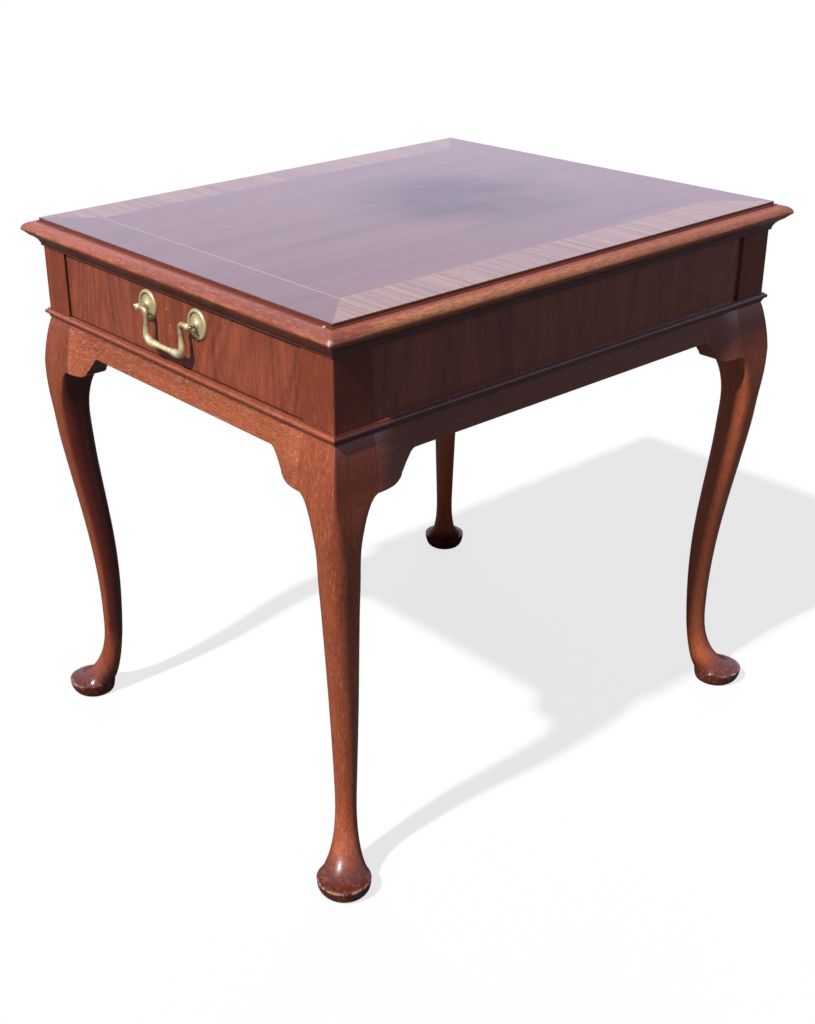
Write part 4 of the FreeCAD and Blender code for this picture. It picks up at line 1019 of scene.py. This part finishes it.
class SIDETABLE_OT_stage(bpy.types.Operator):
    """Sets the floor, the light and the camera"""

    bl_idname = "sidetable.stage"
    bl_label = "Stage"

    def execute(self, context):
        scene, stage = context.scene, settings().stage
        half = stage.floor_half
        mesh = bpy.data.meshes.new("floor")
        mesh.from_pydata([(-half, -half, 0), (half, -half, 0), (half, half, 0), (-half, half, 0)],
                         [], [(0, 1, 2, 3)])
        floor = new_object("floor", mesh)
        finish = Finish("pale_floor")
        seen = finish.ray("Is Camera Ray")
        base = finish.blend(seen, stage.floor_bounce, stage.floor)
        matt = finish.surface(base, 0.9, Specular_IOR_Level=0.0)
        white = finish.add("ShaderNodeEmission", None, {"Color": paint(WHITE)})
        mesh.materials.append(finish.end(finish.add("ShaderNodeMixShader", None, {
            0: seen * stage.floor_white, 1: matt, 2: white})))

        sun_light("key_light", stage.key, stage.key_size, stage.key_height, stage.key_turn)
        behind = sun_light("back_light", stage.back, stage.back_size, stage.back_height,
                           stage.back_turn)
        behind.visible_glossy = False

        world = bpy.data.worlds.new("studio")
        world.use_nodes = True
        scene.world = world
        web = Web(world.node_tree)
        web.tree.nodes.clear()
        sky = web.blend(web.ray("Is Glossy Ray"), stage.sky, stage.gloss)
        sky = web.blend(web.ray("Is Transmission Ray"), sky, stage.gloss)
        sky = web.blend(web.ray("Is Camera Ray"), sky, WHITE)
        light = web.add("ShaderNodeBackground", None, {"Color": sky, "Strength": 1.0})
        web.add("ShaderNodeOutputWorld", None, {"Surface": light})

        scene.camera = photo_camera()
        scene.view_settings.view_transform = "Standard"
        return {"FINISHED"}


def sun_light(name, energy, size, height, turn):
    """Even light from a height over the horizon, turned to the right from the drawer's side."""
    sun = bpy.data.lights.new(name, "SUN")
    sun.energy, sun.angle = energy, size
    lamp = new_object(name, sun)
    aim = Vector((math.sin(turn) * math.cos(height), -math.cos(turn) * math.cos(height),
                  math.sin(height)))
    lamp.rotation_mode = "QUATERNION"
    lamp.rotation_quaternion = aim.to_track_quat("Z", "Y")
    return lamp


def photo_camera():
    """Camera that stands where the photograph was taken from."""
    yaw, pitch, roll = math.radians(YAW), math.radians(PITCH), math.radians(ROLL)
    ahead = Vector((-math.sin(yaw) * math.cos(pitch), math.cos(yaw) * math.cos(pitch),
                    -math.sin(pitch)))
    level = Vector((math.cos(yaw), math.sin(yaw), 0.0))
    down = ahead.cross(level)
    right = math.cos(roll) * level + math.sin(roll) * down
    below = math.cos(roll) * down - math.sin(roll) * level
    lens = bpy.data.cameras.new("photo_camera")
    lens.sensor_width = FILM_WIDTH
    lens.lens = FOCAL / PHOTO_HIGH * FILM_WIDTH
    lens.shift_x = (PHOTO_WIDE / 2 - MIDDLE_X) / PHOTO_HIGH
    lens.shift_y = (MIDDLE_Y - PHOTO_HIGH / 2) / PHOTO_HIGH
    lens.clip_end = VIEW_END
    camera = new_object("photo_camera", lens)
    turn = Matrix((right, -below, -ahead)).transposed().to_4x4()
    camera.matrix_world = Matrix.Translation(CAMERA_SPOT) @ turn
    return camera


class SideTable(bpy.types.PropertyGroup):
    """All settings of the table's looks."""

    wood: PointerProperty(name="Wood", description="Colours of the woods", type=WoodColours)
    metal: PointerProperty(name="Metal", description="Colours of the metals", type=MetalColours)
    gloss: PointerProperty(name="Gloss", description="Shine of the finishes", type=Gloss)
    bail: PointerProperty(name="Bail", description="Sizes of the bail", type=BailSizes)
    screws: PointerProperty(name="Screws", description="Sizes of the screws", type=ScrewSizes)
    stage: PointerProperty(name="Stage", description="Floor, light and camera", type=StageSettings)


OPERATORS = (SIDETABLE_OT_top, SIDETABLE_OT_mouldings, SIDETABLE_OT_legs, SIDETABLE_OT_aprons,
             SIDETABLE_OT_friezes, SIDETABLE_OT_framing, SIDETABLE_OT_drawer, SIDETABLE_OT_pull,
             SIDETABLE_OT_screws, SIDETABLE_OT_stage)


class SIDETABLE_PT_looks(bpy.types.Panel):
    """Lists the pieces of the table and its stage"""

    bl_label = "Side Table"
    bl_idname = "SIDETABLE_PT_looks"
    bl_space_type = "VIEW_3D"
    bl_region_type = "UI"
    bl_category = "Side Table"

    def draw(self, context):
        column = self.layout.column()
        for operator in OPERATORS:
            column.operator(operator.bl_idname)
        for group in ("wood", "metal", "gloss", "bail", "screws", "stage"):
            values = getattr(context.scene.side_table, group)
            box = column.box()
            box.label(text=group.capitalize())
            for name in values.__annotations__:
                box.prop(values, name)


CLASSES = (WoodColours, MetalColours, Gloss, BailSizes, ScrewSizes, StageSettings, SideTable,
           *OPERATORS, SIDETABLE_PT_looks)


def register():
    """Makes the settings, operators and panel known."""
    for cls in CLASSES:
        bpy.utils.register_class(cls)
    bpy.types.Scene.side_table = PointerProperty(type=SideTable)


def unregister():
    """Takes them back."""
    del bpy.types.Scene.side_table
    for cls in reversed(CLASSES):
        bpy.utils.unregister_class(cls)


def main():
    """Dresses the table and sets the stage."""
    register()
    for operator in OPERATORS:
        group, name = operator.bl_idname.split(".")
        getattr(getattr(bpy.ops, group), name)()


if __name__ == "__main__":
    main()
